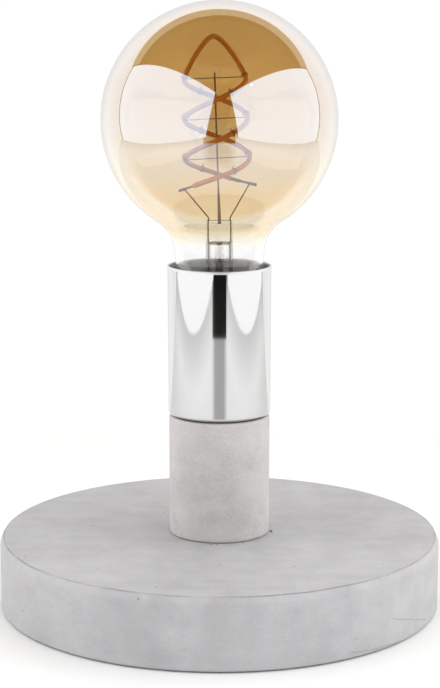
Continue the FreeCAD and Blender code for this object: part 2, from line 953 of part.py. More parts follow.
def make_ties():
    """Small ties round the strip between its lobes, each a band with a twisted tail."""
    ties = []
    inner = strip_radius + tie_gap
    outer = inner + tie_thickness
    part_turn = full_turn / strip_turn_parts
    for level in range(hook_levels):
        for side in (0, half_turn):
            place, heading = strip_state(side, tie_part * part_turn + half_turn * (level - 1))
            out = heading.cross(UP).cross(heading).normalize()
            foot = place - heading * (tie_width / 2)
            band = Part.makeCylinder(outer, tie_width, foot, heading)
            band = band.cut(Part.makeCylinder(inner, tie_width, foot, heading))
            tail = Part.makeCylinder(tie_width / 2, tie_tail, place + out * (inner + tie_thickness / 2), out)
            ties.append(leaned(band.fuse(tail)))
    return Part.makeCompound(ties)


def clip_line(side, tail_share, slope_share):
    """Start of a clip at the strip's end, and the way it points."""
    place, heading = strip_state(side, -full_turn * tail_share)
    level = point(-heading.x, -heading.y, 0).normalize()
    return leaned_point(place), (level - UP * slope_share).normalize()


def make_clip(side, tail_share, slope_share, length, sleeve, strip):
    start, way = clip_line(side, tail_share, slope_share)
    pin = Part.makeCylinder(clip_radius, length, start, way)
    bar = Part.makeCylinder(clip_bar_radius, clip_bar_length, start + way * (length - clip_bar_length), way)
    clip = pin.fuse(bar)
    if sleeve:
        clip = clip.fuse(Part.makeCylinder(clip_sleeve_radius, clip_sleeve_length, start, way))
    return clip.cut(strip).removeSplitter()


def make_lead(side, tail_share, slope_share, length, way_x, clip):
    """Lead wire from its clip through the glass press to the driver board."""
    start, way = clip_line(side, tail_share, slope_share)
    weld = start + way * (length - clip_bar_length)
    bend = point(way_x * lead_offset, 0, press_top + lead_bend_height)
    foot = point(way_x * lead_offset, 0, lead_end)
    return bent_wire([(weld, 0), (bend, lead_bend_radius), (foot, 0)], lead_radius).cut(clip)


# Driver inside the cap

def board_front():
    return board_offset + board_thickness


def make_board():
    return block(board_width, board_thickness, board_height, 0,
                 board_offset + board_thickness / 2, insulator_top)


def make_capacitor():
    start = point(-capacitor_side - capacitor_length / 2, board_front() + capacitor_radius,
                  insulator_top + capacitor_lift)
    return Part.makeCylinder(capacitor_radius, capacitor_length, start, point(1, 0, 0))


def make_chip():
    return block(chip_length, chip_height, chip_width, chip_side,
                 board_front() + chip_height / 2, insulator_top + chip_lift - chip_width / 2)


def make_contact_wire():
    bottom = insulator_z
    return Part.makeCylinder(contact_wire_radius, insulator_top + contact_wire_rise - bottom,
                             point(0, 0, bottom))


def build():
    """Every piece of the lamp by its name."""
    pieces = {
        "concrete_base": make_base(),
        "base_pad": make_pad(),
        "cable_bush": make_bush(),
        "threaded_tube": make_tube(),
        "base_washer": ring(tube_radius + bore_gap, base_washer_radius, base_washer_z,
                            base_washer_thickness),
        "base_spring_washer": make_spring_washer(),
        "base_nut": make_nut(base_nut_z),
        "concrete_stem": make_stem(),
        "chrome_cup": make_cup(),
        "cup_tooth_washer": make_tooth_washer(),
        "earth_tag": make_earth_tag(),
        "cup_nut": make_nut(cup_nut_z),
        "holder_collar": make_collar(),
        "holder_lock_screw": make_grub(),
        "holder_dome": make_dome(),
        "holder_core": make_core(),
        "terminal_blocks": make_terminals(),
        "terminal_screws": make_terminal_screws(),
        "centre_contact": make_tongue(),
        "socket_shell": make_socket_shell(),
        "holder_skirt": make_skirt(),
        "cap_contact": make_contact(),
        "cap_insulator": make_insulator(),
        "cap_shell": make_cap_shell(),
        "cap_cement": make_cement(),
        "bulb_glass": make_globe(),
        "exhaust_tube": make_exhaust_tube(),
        "driver_board": make_board(),
        "driver_capacitor": make_capacitor(),
        "driver_chip": make_chip(),
        "contact_wire": make_contact_wire(),
    }
    strip = make_strip()
    pieces["light_strip"] = strip
    left_end = (0, strip_left_tail_turn_share, clip_left_slope_share, clip_left_length)
    right_end = (half_turn, strip_right_tail_turn_share, clip_right_slope_share, clip_right_length)
    left_clip = make_clip(*left_end, False, strip)
    right_clip = make_clip(*right_end, True, strip)
    pieces["strip_clip_left"] = left_clip
    pieces["strip_clip_right"] = right_clip
    pieces["lead_wire_left"] = make_lead(*left_end, -1, left_clip)
    pieces["lead_wire_right"] = make_lead(*right_end, 1, right_clip)
    hooks = [make_hook_wire(level) for level in range(hook_levels)]
    for name, hook in zip(("lower", "middle", "upper"), hooks):
        pieces["hook_wire_" + name] = leaned(hook)
    pieces["strip_ties"] = make_ties()
    post = make_post(hooks)
    pieces["support_post"] = post
    pieces["glass_stem"] = make_glass_stem([post, pieces["lead_wire_left"], pieces["lead_wire_right"]])
    return pieces


os.makedirs("parts", exist_ok=True)
for name, shape in build().items():
    shape.exportStep("parts/" + name + ".step")
print_least_gap()
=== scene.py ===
"""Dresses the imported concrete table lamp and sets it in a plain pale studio.

Lengths of the lamp are millimetres, as in the part's source. Those of meshes and the studio are metres.
"""

import logging
import math
from collections.abc import Sequence
from dataclasses import dataclass
from enum import Enum

import bmesh
import bpy
from mathutils import Matrix, Vector, noise

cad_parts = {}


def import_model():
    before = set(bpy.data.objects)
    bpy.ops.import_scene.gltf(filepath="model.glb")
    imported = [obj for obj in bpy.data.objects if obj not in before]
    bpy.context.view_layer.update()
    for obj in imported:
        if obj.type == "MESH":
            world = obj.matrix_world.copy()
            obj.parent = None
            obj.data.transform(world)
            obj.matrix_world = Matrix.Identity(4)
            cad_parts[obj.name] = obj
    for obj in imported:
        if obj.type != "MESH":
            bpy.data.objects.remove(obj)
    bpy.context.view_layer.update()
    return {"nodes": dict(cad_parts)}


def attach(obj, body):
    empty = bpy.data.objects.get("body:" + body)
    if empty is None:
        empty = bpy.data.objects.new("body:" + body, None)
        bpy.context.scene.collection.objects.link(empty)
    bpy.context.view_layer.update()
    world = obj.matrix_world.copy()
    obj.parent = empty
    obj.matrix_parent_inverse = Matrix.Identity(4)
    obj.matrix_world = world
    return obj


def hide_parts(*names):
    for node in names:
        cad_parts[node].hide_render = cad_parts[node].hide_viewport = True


MM = 0.001
TURN = 2 * math.pi
GLASS_INDEX = 1.5
LENGTH_LAYER = "along"
LOG = logging.getLogger("table_lamp")

Pair = tuple[float, float]
Point = tuple[float, float, float]
Colour = tuple[float, float, float]
Mesh = bmesh.types.BMesh
Object = bpy.types.Object
Material = bpy.types.Material


class Body(Enum):
    """Rigid bodies of the lamp that new pieces ride on."""

    LAMP = "lamp"
    BULB = "bulb"


class Slot(Enum):
    """Names of material slots, which each new piece is passed."""

    CONCRETE = "concrete"
    FOAM = "pad_foam"
    BLACK_PLASTIC = "black_plastic"
    CHROME = "polished_chrome"
    BRASS = "brass"
    CAP_METAL = "nickel_brass"
    AMBER_GLASS = "amber_glass"
    SILICONE = "amber_silicone"


# Node boards for the finishes


class Value:
    """What a node gives, which takes part in sums as a plain number does."""

    def __init__(self, board: "Board", socket: bpy.types.NodeSocket) -> None:
        """Keeps the node's output and its board."""
        self.board, self.socket = board, socket

    def __add__(self, other: "Term") -> "Value":
        """Sum."""
        return self.board.math("ADD", self, other)

    def __sub__(self, other: "Term") -> "Value":
        """Difference."""
        return self.board.math("SUBTRACT", self, other)

    def __rsub__(self, other: float) -> "Value":
        """A number less this value."""
        return self.board.math("SUBTRACT", other, self)

    def __mul__(self, other: "Term") -> "Value":
        """Product."""
        return self.board.math("MULTIPLY", self, other)

    def __truediv__(self, other: "Term") -> "Value":
        """Quotient."""
        return self.board.math("DIVIDE", self, other)

    def __abs__(self) -> "Value":
        """Size without the sign."""
        return self.board.math("ABSOLUTE", self)

    def __gt__(self, other: "Term") -> "Value":
        """One where it is greater, or else zero."""
        return self.board.math("GREATER_THAN", self, other)

    def __lt__(self, other: "Term") -> "Value":
        """One where it is less, or else zero."""
        return self.board.math("LESS_THAN", self, other)

    def at_least(self, other: "Term") -> "Value":
        """The greater of the two."""
        return self.board.math("MAXIMUM", self, other)

    def span(self, low: float, high: float, start: float = 0.0, end: float = 1.0) -> "Value":
        """Linear change from start at the low value to end at the high one, level beyond both."""
        return self.board.read("ShaderNodeMapRange", 0, {"clamp": True}, Value=self, From_Min=low,
                               From_Max=high, To_Min=start, To_Max=end)

    def ramp(self, *stops: tuple[float, Colour]) -> "Value":
        """Colour that changes with the value.

        Args:
            *stops: Places from 0 to 1 with their colours.

        Returns:
            The colour.
        """
        made = self.board.node("ShaderNodeValToRGB", Fac=self)
        elements = made.color_ramp.elements
        while len(elements) < len(stops):
            elements.new(1.0)
        for element, (place, colour) in zip(elements, stops):
            element.position, element.color = place, (*colour, 1.0)
        return Value(self.board, made.outputs[0])


Term = Value | float | tuple[float, ...]


class Board:
    """Nodes of a material or world, with short ways to add and join them."""

    def __init__(self, name: str, world: bool = False) -> None:
        """Makes an empty material or world.

        Args:
            name: Its name.
            world: Whether it is a world.
        """
        self.owner = (bpy.data.worlds if world else bpy.data.materials).new(name)
        self.owner.use_nodes = True
        self.tree = self.owner.node_tree
        self.tree.nodes.clear()
        self.output = self.node("ShaderNodeOutputWorld" if world else "ShaderNodeOutputMaterial")
        self.place = self.read("ShaderNodeTexCoord", "Generated" if world else "Object")

    def join(self, term: Term, socket: bpy.types.NodeSocket) -> None:
        """Links a value to an input, or writes a number, vector or colour in it.

        Args:
            term: What the input gets.
            socket: The input.
        """
        if isinstance(term, Value):
            self.tree.links.new(term.socket, socket)
        else:
            socket.default_value = (*term, 1.0) if socket.type == "RGBA" else term

    def node(self, kind: str, settings: dict[str, object] | None = None, **inputs: Term) -> bpy.types.Node:
        """Adds a node.

        Args:
            kind: Blender's name of the node type.
            settings: Properties of the node.
            **inputs: What its inputs get, with underscores for the spaces in their names.

        Returns:
            The new node.
        """
        made = self.tree.nodes.new(kind)
        for key, value in (settings or {}).items():
            setattr(made, key, value)
        for key, term in inputs.items():
            self.join(term, made.inputs[key.replace("_", " ")])
        return made

    def read(self, kind: str, output: str | int = 0, settings: dict[str, object] | None = None,
             **inputs: Term) -> Value:
        """Adds a node as node() does, and gives one of its outputs."""
        return Value(self, self.node(kind, settings, **inputs).outputs[output])

    def math(self, operation: str, *terms: Term) -> Value:
        """One step of arithmetic.

        Args:
            operation: Name of the operation.
            *terms: Values or numbers.

        Returns:
            The result.
        """
        made = self.node("ShaderNodeMath", {"operation": operation})
        for term, socket in zip(terms, made.inputs):
            self.join(term, socket)
        return Value(self, made.outputs[0])

    def noise(self, scale: float, detail: float, roughness: float = 0.5,
              stretch: Point = (1, 1, 1)) -> Value:
        """Cloudy pattern on the coordinates.

        Args:
            scale: Pattern cells per metre.
            detail: Number of finer layers.
            roughness: Strength of the finer layers.
            stretch: Scale along each axis.

        Returns:
            The pattern's value, about 0.5 on average.
        """
        mapped = self.read("ShaderNodeMapping", Vector=self.place, Scale=stretch)
        return self.read("ShaderNodeTexNoise", Vector=mapped, Scale=scale, Detail=detail,
                         Roughness=roughness)

    def blend(self, share: Term, first: Term, second: Term, mode: str = "MIX") -> Value:
        """Mix of two colours.

        Args:
            share: Share of the second colour.
            first: The first colour.
            second: The second colour.
            mode: Way of mixing.

        Returns:
            The mixed colour.
        """
        made = self.node("ShaderNodeMix", {"data_type": "RGBA", "blend_type": mode})
        for term, place in ((share, 0), (first, 6), (second, 7)):
            self.join(term, made.inputs[place])
        return Value(self, made.outputs[2])

    def axes(self) -> list[Value]:
        """The x, y and z of the coordinates."""
        parts = self.node("ShaderNodeSeparateXYZ", Vector=self.place)
        return [Value(self, part) for part in parts.outputs]

    def radius(self) -> Value:
        """Distance from the lamp's upright axis."""
        x, y, _ = self.axes()
        return self.math("SQRT", x * x + y * y)

    def bearing(self) -> Value:
        """Angle round the lamp from the front, to the right where positive."""
        x, y, _ = self.axes()
        return self.math("ARCTAN2", x, y * -1.0)

    def facing(self) -> Value:
        """Zero where the surface is seen squarely and one where it is seen edge-on."""
        return self.read("ShaderNodeLayerWeight", "Facing", Blend=0.5)

    def bump(self, *layers: tuple[Value, float]) -> Value:
        """Relief from several height patterns.

        Args:
            *layers: Height patterns with the depth of each in millimetres.

        Returns:
            The normal.
        """
        below = {}
        for height, depth in layers:
            normal = self.read("ShaderNodeBump", Height=height, Distance=depth * MM, Strength=1.0, **below)
            below = {"Normal": normal}
        return normal

    def shader(self, **inputs: Term) -> Value:
        """Adds a surface shader."""
        return self.read("ShaderNodeBsdfPrincipled", **inputs)

    def close(self, shader: Value) -> Material | bpy.types.World:
        """Joins a shader to the output, and gives the finished material or world."""
        self.join(shader, self.output.inputs["Surface"])
        return self.owner

    def finish(self, **inputs: Term) -> Material:
        """Adds the only surface shader of a material, and gives the finished material."""
        return self.close(self.shader(**inputs))


class CastingBoard(Board):
    """Board with the marks of cast concrete. The dark colour of its pores and pits, and its dark line at
    the stem's foot, are painted shade.
    """

    pore_size: float = 0.10
    crack_wander: Pair = (180, 1.6)
    crack_edges: Pair = (0.06 * MM, 0.3 * MM)
    dark_line_wander: Pair = (45, 0.7)
    dark_line_edges: Pair = (0.08 * MM, 0.34 * MM)

    def pores(self, scale: float) -> Value:
        """Small round pores of mixed size, left by air in the cast.

        Args:
            scale: Pattern cells per metre.

        Returns:
            One inside a pore and zero outside.
        """
        cells = self.node("ShaderNodeTexVoronoi", Vector=self.place, Scale=scale)
        chance = self.read("ShaderNodeSeparateColor", Color=Value(self, cells.outputs["Color"]))
        return Value(self, cells.outputs["Distance"]) < chance.span(0.6, 1.0) * self.pore_size

    def off_line(self, level: Term, scale: float, reach: float) -> Value:
        """How far a point lies off a line that wanders up and down.

        Args:
            level: Height of the line in metres.
            scale: Fineness of its wandering.
            reach: Its reach in millimetres.

        Returns:
            The distance in metres.
        """
        return abs(self.axes()[2] + (self.noise(scale, 3) - 0.5) * (reach * MM) - level)

    def crack(self, first: float, last: float, start: float, end: float) -> Value:
        """Faint wandering line along the side.

        Args:
            first: Bearing where it starts, in degrees from the front.
            last: Bearing where it ends.
            start: Height where it starts, in millimetres.
            end: Height where it ends.

        Returns:
            Strength of the line.
        """
        bearing, first, last = self.bearing(), math.radians(first), math.radians(last)
        away = self.off_line(bearing.span(first, last, start * MM, end * MM), *self.crack_wander)
        return (bearing > first) * (bearing < last) * away.span(*self.crack_edges, 0.55, 0.0)

    def pit(self, place: Point, radius: float) -> Value:
        """One larger hole, which the concrete's colour darkens as painted shade.

        Args:
            place: Its middle in millimetres.
            radius: Its radius in millimetres.

        Returns:
            Nearly one inside the hole and zero outside.
        """
        x, y, z = [part - middle * MM for part, middle in zip(self.axes(), place)]
        return self.math("SQRT", x * x + y * y + z * z).span(0.7 * radius * MM, radius * MM, 0.9, 0.0)

    def seam(self, height: float, radius: float) -> Value:
        """Thin broken dark line round the casting. At the stem's foot it is painted shade where the stem
        meets the disc; on the disc it runs just under the top edge.

        Args:
            height: Its height in millimetres.
            radius: Its least radius.

        Returns:
            Strength of the line.
        """
        line = self.off_line(height * MM, *self.dark_line_wander).span(*self.dark_line_edges, 0.75, 0.0)
        return line * self.noise(60, 2).span(0.35, 0.6, 0.25, 1.0) * (self.radius() > radius * MM)


# Finishes


def darker(colour: Colour, share: float) -> Colour:
    """Colour with a share of its light taken away."""
    return tuple((1 - share) * part for part in colour)


@dataclass(frozen=True)
class Finish:
    """Look of a surface."""

    name: str

    def make(self) -> Material:
        """Builds the material."""
        raise NotImplementedError

    def material(self) -> Material:
        """The material, made once."""
        return bpy.data.materials.get(self.name) or self.make()


@dataclass(frozen=True)
class CastConcrete(Finish):
    """Fine cast concrete with soft clouds, a fine grain and scattered pores."""

    light: Colour
    dark: Colour
    pore_scale: float = 170.0
    grain_share: float = 0.22
    # Heights of the dark lines; the one at the stem's foot is painted shade.
    dark_line_heights: tuple[float, ...] = ()
    dark_line_radius: float = 0.0
    cracks: tuple[tuple[float, float, float, float], ...] = ()
    pits: tuple[tuple[Point, float], ...] = ()
    cool: Colour = (0.982, 0.992, 1.0)
    plain: Colour = (1.0, 0.99, 0.993)
    warm: Colour = (1.0, 0.993, 0.984)
    grain_tone: Colour = (0.20, 0.195, 0.195)
    # Painted shade: the pore and pit tones darken the holes for the shade inside them.
    pore_shade_tone: Colour = (0.12, 0.115, 0.11)
    line_tone: Colour = (0.16, 0.155, 0.15)
    pit_shade_tone: Colour = (0.05, 0.048, 0.045)

    def make(self) -> Material:
        """Builds the material.

        Returns:
            The finished material.
        """
        board = CastingBoard(self.name)
        patches, grain = board.noise(95, 5, 0.65), board.noise(1100, 4, 0.8)
        streaks = board.noise(60, 4, 0.6, (0.35, 2.2, 2.2))
        share = board.noise(24, 3, 0.55) * 0.4 + patches * 0.35 + streaks * 0.25
        tint = board.noise(150, 4, 0.7).ramp((0.38, self.cool), (0.5, self.plain), (0.62, self.warm))
        colour = board.blend(1.0, share.ramp((0.38, self.dark), (0.62, self.light)), tint, "MULTIPLY")
        pores = board.pores(self.pore_scale)
        marks = [(grain.span(0.42, 0.68, 0.0, self.grain_share), self.grain_tone),
                 (pores * 0.6, self.pore_shade_tone)]
        marks += [(board.seam(height, self.dark_line_radius), self.line_tone) for height in self.dark_line_heights]
        marks += [(board.crack(*crack), self.line_tone) for crack in self.cracks]
        marks += [(board.pit(*pit), self.pit_shade_tone) for pit in self.pits]
        # Grain and cracks are the concrete's own marks; the dark pores and pits and the dark line at the
        # stem's foot are painted shade.
        for mark, tone in marks:
            colour = board.blend(mark, colour, tone)
        relief = board.bump((board.noise(130, 4, 0.6), 0.12), (grain, 0.06), (1.0 - pores, 0.35))
        return board.finish(Base_Color=colour, Roughness=patches.span(0.3, 0.7, 0.62, 0.78), Normal=relief,
                            Specular_IOR_Level=0.35)


@dataclass(frozen=True)
class Metal(Finish):
    """Plated, polished or drawn metal with faint smears and scratches."""

    colour: Colour
    roughness: float
    smear: float = 0.03
    scratch_depth: float = 0.002
    stretch: Point = (1, 1, 1)
    dulling: float = 0.14

    def make(self) -> Material:
        """Builds the material.

        Returns:
            The finished material.
        """
        board = Board(self.name)
        smears = board.noise(120, 4, 0.6, self.stretch)
        scratches = board.noise(2600, 2, 0.5, self.stretch)
        return board.finish(
            Base_Color=smears.ramp((0.35, darker(self.colour, self.dulling)), (0.6, self.colour)),
            Roughness=smears.span(0.35, 0.7, self.roughness, self.roughness + self.smear), Metallic=1.0,
            Normal=board.bump((scratches, self.scratch_depth)))


@dataclass(frozen=True)
class Threaded(Finish):
    """Metal with a fine screw thread shown as relief round the upright axis."""

    colour: Colour
    pitch: float

    def make(self) -> Material:
        """Builds the material.

        Returns:
            The finished material.
        """
        board = Board(self.name)
        x, y, z = board.axes()
        wave = board.math("FRACT", z / (self.pitch * MM) - board.math("ARCTAN2", y, x) / TURN)
        smears = board.noise(200, 3)
        return board.finish(Base_Color=smears.ramp((0.35, darker(self.colour, 0.25)), (0.65, self.colour)),
                            Roughness=smears.span(0.3, 0.7, 0.28, 0.42), Metallic=1.0,
                            Normal=board.bump((abs(wave - 0.5), self.pitch * 0.5)))


@dataclass(frozen=True)
class Plastic(Finish):
    """Moulded plastic, rubber, ceramic or laminate with a fine moulded grain."""

    colour: Colour
    roughness: float
    grain_scale: float = 900.0
    grain_depth: float = 0.02
    variation: float = 0.12

    def make(self) -> Material:
        """Builds the material.

        Returns:
            The finished material.
        """
        board = Board(self.name)
        clouds, grain = board.noise(80, 4, 0.6), board.noise(self.grain_scale, 3, 0.6)
        return board.finish(
            Base_Color=clouds.ramp((0.35, darker(self.colour, self.variation)), (0.65, self.colour)),
            Roughness=grain.span(0.3, 0.7, self.roughness - 0.05, self.roughness + 0.06),
            Normal=board.bump((grain, self.grain_depth)))


@dataclass(frozen=True)
class Glass(Finish):
    """Clear glass with painted shade where it is seen edge-on, standing in for the dark outlines that
    refraction gives.
    """

    colour: Colour
    edge: Colour
    edge_span: Pair = (0.2, 0.6)

    def make(self) -> Material:
        """Builds the material.

        Returns:
            The finished material.
        """
        board = Board(self.name)
        # Painted shade: the edge colour darkens the glass towards its outlines.
        colour = board.blend(board.facing().span(*self.edge_span), self.colour, self.edge)
        return board.finish(Base_Color=colour, Roughness=0.0, IOR=GLASS_INDEX, Transmission_Weight=1.0)


@dataclass(frozen=True)
class AmberCoat(Finish):
    """Glass with an amber mirror coat that thins out towards the neck."""

    tints: tuple[tuple[float, Colour], ...]
    mirror: Colour = (0.49, 0.72, 0.94)
    mirror_heights: Pair = (164.0, 196.0)
    mirror_share: float = 0.37
    edge_share: float = 0.20
    inner_share: float = 0.12
    # The grazing fields set a painted reflection: the tint turns pale near the globe's outline.
    grazing_span: Pair = (0.42, 0.50)
    grazing_rise: Pair = (157.0, 164.0)
    grazing_fall: Pair = (172.0, 196.0)
    pale_ring_tint: Colour = (0.95, 0.90, 0.86)
    # The outline shade fields set painted shade: a dark line along the globe's outline.
    outline_shade_start: float = 0.72
    outline_shade_strength: float = 0.5
    outline_shade_top: float = 176.0
    outline_shade_tint: Colour = (0.12, 0.125, 0.13)
    unevenness: float = 2.0

    def make(self) -> Material:
        """Builds the material.

        Returns:
            The finished material.
        """
        board = Board(self.name)
        height = board.axes()[2] / MM + (board.noise(30, 3) - 0.5) * self.unevenness
        low, high = self.tints[0][0], self.tints[-1][0]
        tint = height.span(low, high).ramp(*[((place - low) / (high - low), colour)
                                             for place, colour in self.tints])
        facing = board.facing()
        behind = board.read("ShaderNodeNewGeometry", "Backfacing")
        edge = board.math("POWER", facing, 2.0) * self.edge_share
        share = height.span(*self.mirror_heights) * (edge + self.mirror_share)
        share = share * behind.span(0.0, 1.0, 1.0, self.inner_share)
        # Painted reflection: a pale tint where the glass is seen nearly edge-on, standing in for the white
        # backdrop mirrored there.
        grazing = facing.span(*self.grazing_span) * height.span(*self.grazing_rise)
        tint = board.blend(grazing * height.span(*self.grazing_fall, 1.0, 0.0), tint, self.pale_ring_tint)
        # Painted shade: darkening where the glass is seen edge-on, strongest towards the neck.
        rim = facing.span(self.outline_shade_start, 1.0, 0.0, self.outline_shade_strength)
        rim = rim * height.span(low, self.outline_shade_top, 1.0, 0.2)
        glass = board.shader(Base_Color=board.blend(rim, tint, self.outline_shade_tint), Roughness=0.0,
                             IOR=GLASS_INDEX, Transmission_Weight=1.0)
        mirror = board.shader(Base_Color=self.mirror, Metallic=1.0, Roughness=0.0)
        both = board.node("ShaderNodeMixShader", Fac=share)
        for shader, place in ((glass, 1), (mirror, 2)):
            board.join(shader, both.inputs[place])
        return board.close(Value(board, both.outputs[0]))


@dataclass(frozen=True)
class SiliconeStrip(Finish):
    """Amber silicone with the row of small diodes showing faintly through it."""

    colour: Colour
    deep: Colour
    diode_pitch: float
    diode_share: float = 0.22
    scatter_reach: float = 0.8

    def make(self) -> Material:
        """Builds the material.

        Returns:
            The finished material.
        """
        board = Board(self.name)
        along = board.read("ShaderNodeAttribute", "Fac", {"attribute_name": LENGTH_LAYER})
        beat = board.math("FRACT", along / (self.diode_pitch * MM))
        diode = abs(beat - 0.5).span(0.14, 0.3, 1.0, 0.0)
        colour = board.blend(diode * self.diode_share, self.colour, self.deep)
        colour = board.blend(board.noise(300, 3).span(0.3, 0.7, 0.0, 0.2), colour, self.deep)
        return board.finish(Base_Color=colour, Roughness=0.42, Subsurface_Weight=0.25,
                            Subsurface_Radius=(0.9, 0.4, 0.15), Subsurface_Scale=self.scatter_reach * MM,
                            Normal=board.bump((board.noise(900, 2), 0.02)))


DISC_CONCRETE = CastConcrete(
    "disc_concrete", (0.400, 0.397, 0.409), (0.322, 0.320, 0.330), dark_line_heights=(29.25,), dark_line_radius=88.6,
    cracks=((47.0, 66.0, 12.0, 2.8), (33.0, 50.0, 2.9, 1.0)),
    pits=(((21.3, -0.8, 29.4), 0.75), ((21.4, -2.0, 29.4), 0.8), ((21.3, -3.3, 29.4), 0.7),
          ((-3.5, -21.0, 29.4), 0.6), ((-1.0, -21.2, 29.4), 0.5), ((9.4, -18.9, 29.4), 0.5)))
# The stem's concrete is lighter than the disc's: painted light, which brings the stem's sides up to the
# brightness of the disc's.
STEM_CONCRETE = CastConcrete("stem_concrete", (0.49, 0.474, 0.467), (0.38, 0.368, 0.362), 330.0, 0.3,
                             (29.7,), 19.0)
CHROME = Metal("polished_chrome_plate", (0.53, 0.532, 0.537), 0.03, 0.015, 0.0002, dulling=0.02)
RIM_CHROME = Metal("brushed_chrome_rim", (0.66, 0.66, 0.67), 0.42, 0.08, 0.002, (1, 1, 12))
INNER_CHROME = Metal("satin_cup_inside", (0.62, 0.62, 0.63), 0.42, 0.2, 0.02, (1, 1, 4), 0.4)
# Painted shade: the dark band at the cup's foot stands in for the shadow in the gap between cup and stem.
CUP_FOOT_SHADE = Metal("unpolished_cup_foot", (0.10, 0.097, 0.094), 0.5, 0.1)
ZINC = Metal("zinc_plate", (0.70, 0.71, 0.73), 0.28, 0.12)
TINNED = Metal("tinned_plate", (0.76, 0.74, 0.70), 0.30, 0.12)
BRASS = Metal("spun_brass", (0.80, 0.62, 0.30), 0.24, 0.12)
CAP_METAL = Metal("nickelled_cap", (0.80, 0.79, 0.76), 0.22, 0.12)
SOLDER = Metal("solder_bead", (0.72, 0.72, 0.73), 0.32, 0.2, 0.01)
WIRE = Metal("nickel_wire_drawn", (0.22, 0.17, 0.13), 0.4, 0.1)
TUBE_THREAD = Threaded("fine_thread", (0.70, 0.71, 0.73), 1.0)
BLACK_PLASTIC = Plastic("black_phenolic", (0.022, 0.022, 0.024), 0.38)
FOAM = Plastic("foam_pad", (0.045, 0.045, 0.048), 0.9, 420.0, 0.12, 0.3)
CERAMIC = Plastic("steatite", (0.84, 0.83, 0.79), 0.42, 1400.0, 0.015, 0.06)
CEMENT = Plastic("cap_cement_finish", (0.66, 0.63, 0.56), 0.85, 700.0, 0.05, 0.2)
BLACK_GLASS = Plastic("vitrified_black", (0.012, 0.012, 0.016), 0.12, 500.0, 0.004, 0.2)
LAMINATE = Plastic("board_laminate", (0.08, 0.27, 0.13), 0.4, 1200.0, 0.006, 0.15)
CLOTH = Plastic("softbox_cloth", (0.012, 0.012, 0.012), 0.95)
CLEAR_GLASS = Glass("clear_stem_glass", (0.99, 0.99, 0.985), (0.20, 0.19, 0.17))
INNER_GLASS = Glass("globe_inner_wall", (1.0, 1.0, 1.0), (0.99, 0.99, 0.99))
AMBER_COAT = AmberCoat("amber_mirror_coat", (
    (147.5, (0.865, 0.87, 0.88)), (149.5, (0.92, 0.895, 0.83)), (152.0, (0.915, 0.85, 0.68)),
    (156.0, (0.90, 0.74, 0.46)), (165.0, (0.91, 0.65, 0.33)), (180.0, (0.86, 0.60, 0.30)),
    (192.0, (0.83, 0.51, 0.200)), (203.0, (0.83, 0.44, 0.115)), (215.0, (0.83, 0.44, 0.115))))
# The strip's colour is its amber silicone made deeper as painted shade: the globe casts no shadow, so this
# colour takes the place of the amber glass's filtering of the light on the strip.
SILICONE = SiliconeStrip("amber_strip", (0.42, 0.165, 0.006), (0.31, 0.10, 0.003), 1.1)


# Shaping of meshes


@dataclass(frozen=True)
class Corner:
    """Corner of a turned outline: radius, height and rounding in millimetres."""

    radius: float
    height: float
    rounding: float = 0.0


def turned(corners: Sequence[Corner], steps: int, closed: bool = True, segments: int = 5) -> Mesh:
    """Turns an outline about the upright axis.

    Args:
        corners: Corners of the outline in order.
        steps: Facets round the axis.
        closed: Whether the outline is a ring that stays off the axis.
        segments: Facets of each rounding.

    Returns:
        A closed mesh with its faces outwards.
    """
    mesh = bmesh.new()
    verts = [mesh.verts.new((corner.radius * MM, 0, corner.height * MM)) for corner in corners]
    for pair in list(zip(verts, verts[1:])) + ([(verts[-1], verts[0])] if closed else []):
        mesh.edges.new(pair)
    for vert, corner in zip(verts, corners):
        if corner.rounding > 0:
            sides = [(edge.other_vert(vert).co - vert.co).normalized() for edge in vert.link_edges]
            half = sides[0].angle(sides[1]) / 2
            bmesh.ops.bevel(mesh, geom=[vert], offset=corner.rounding * MM / math.tan(half),
                            offset_type="OFFSET", segments=segments, profile=0.5, affect="VERTICES",
                            material=-1)
    bmesh.ops.spin(mesh, geom=mesh.verts[:] + mesh.edges[:], cent=(0, 0, 0), axis=(0, 0, 1),
                   dvec=(0, 0, 0), angle=TURN, steps=steps, use_merge=True)
    bmesh.ops.remove_doubles(mesh, verts=mesh.verts, dist=0.001 * MM)
    bmesh.ops.recalc_face_normals(mesh, faces=mesh.faces)
    return mesh


def rod(start: Vector, end: Vector, radius: float, sides: int) -> Mesh:
    """Straight round rod with slightly eased ends.

    Args:
        start: First end in millimetres.
        end: Second end in millimetres.
        radius: Radius in millimetres.
        sides: Facets round it.

    Returns:
        The closed mesh.
    """
    mesh, way = bmesh.new(), end - start
    place = Matrix.Translation((start + end) / 2 * MM) @ way.to_track_quat("Z", "Y").to_matrix().to_4x4()
    bmesh.ops.create_cone(mesh, cap_ends=True, segments=sides, radius1=radius * MM, radius2=radius * MM,
                          depth=way.length * MM, matrix=place)
    ends = [edge for edge in mesh.edges if any(len(face.verts) > 4 for face in edge.link_faces)]
    bmesh.ops.bevel(mesh, geom=ends, offset=radius * 0.25 * MM, offset_type="OFFSET", segments=2,
                    profile=0.5, affect="EDGES", material=-1)
    return mesh


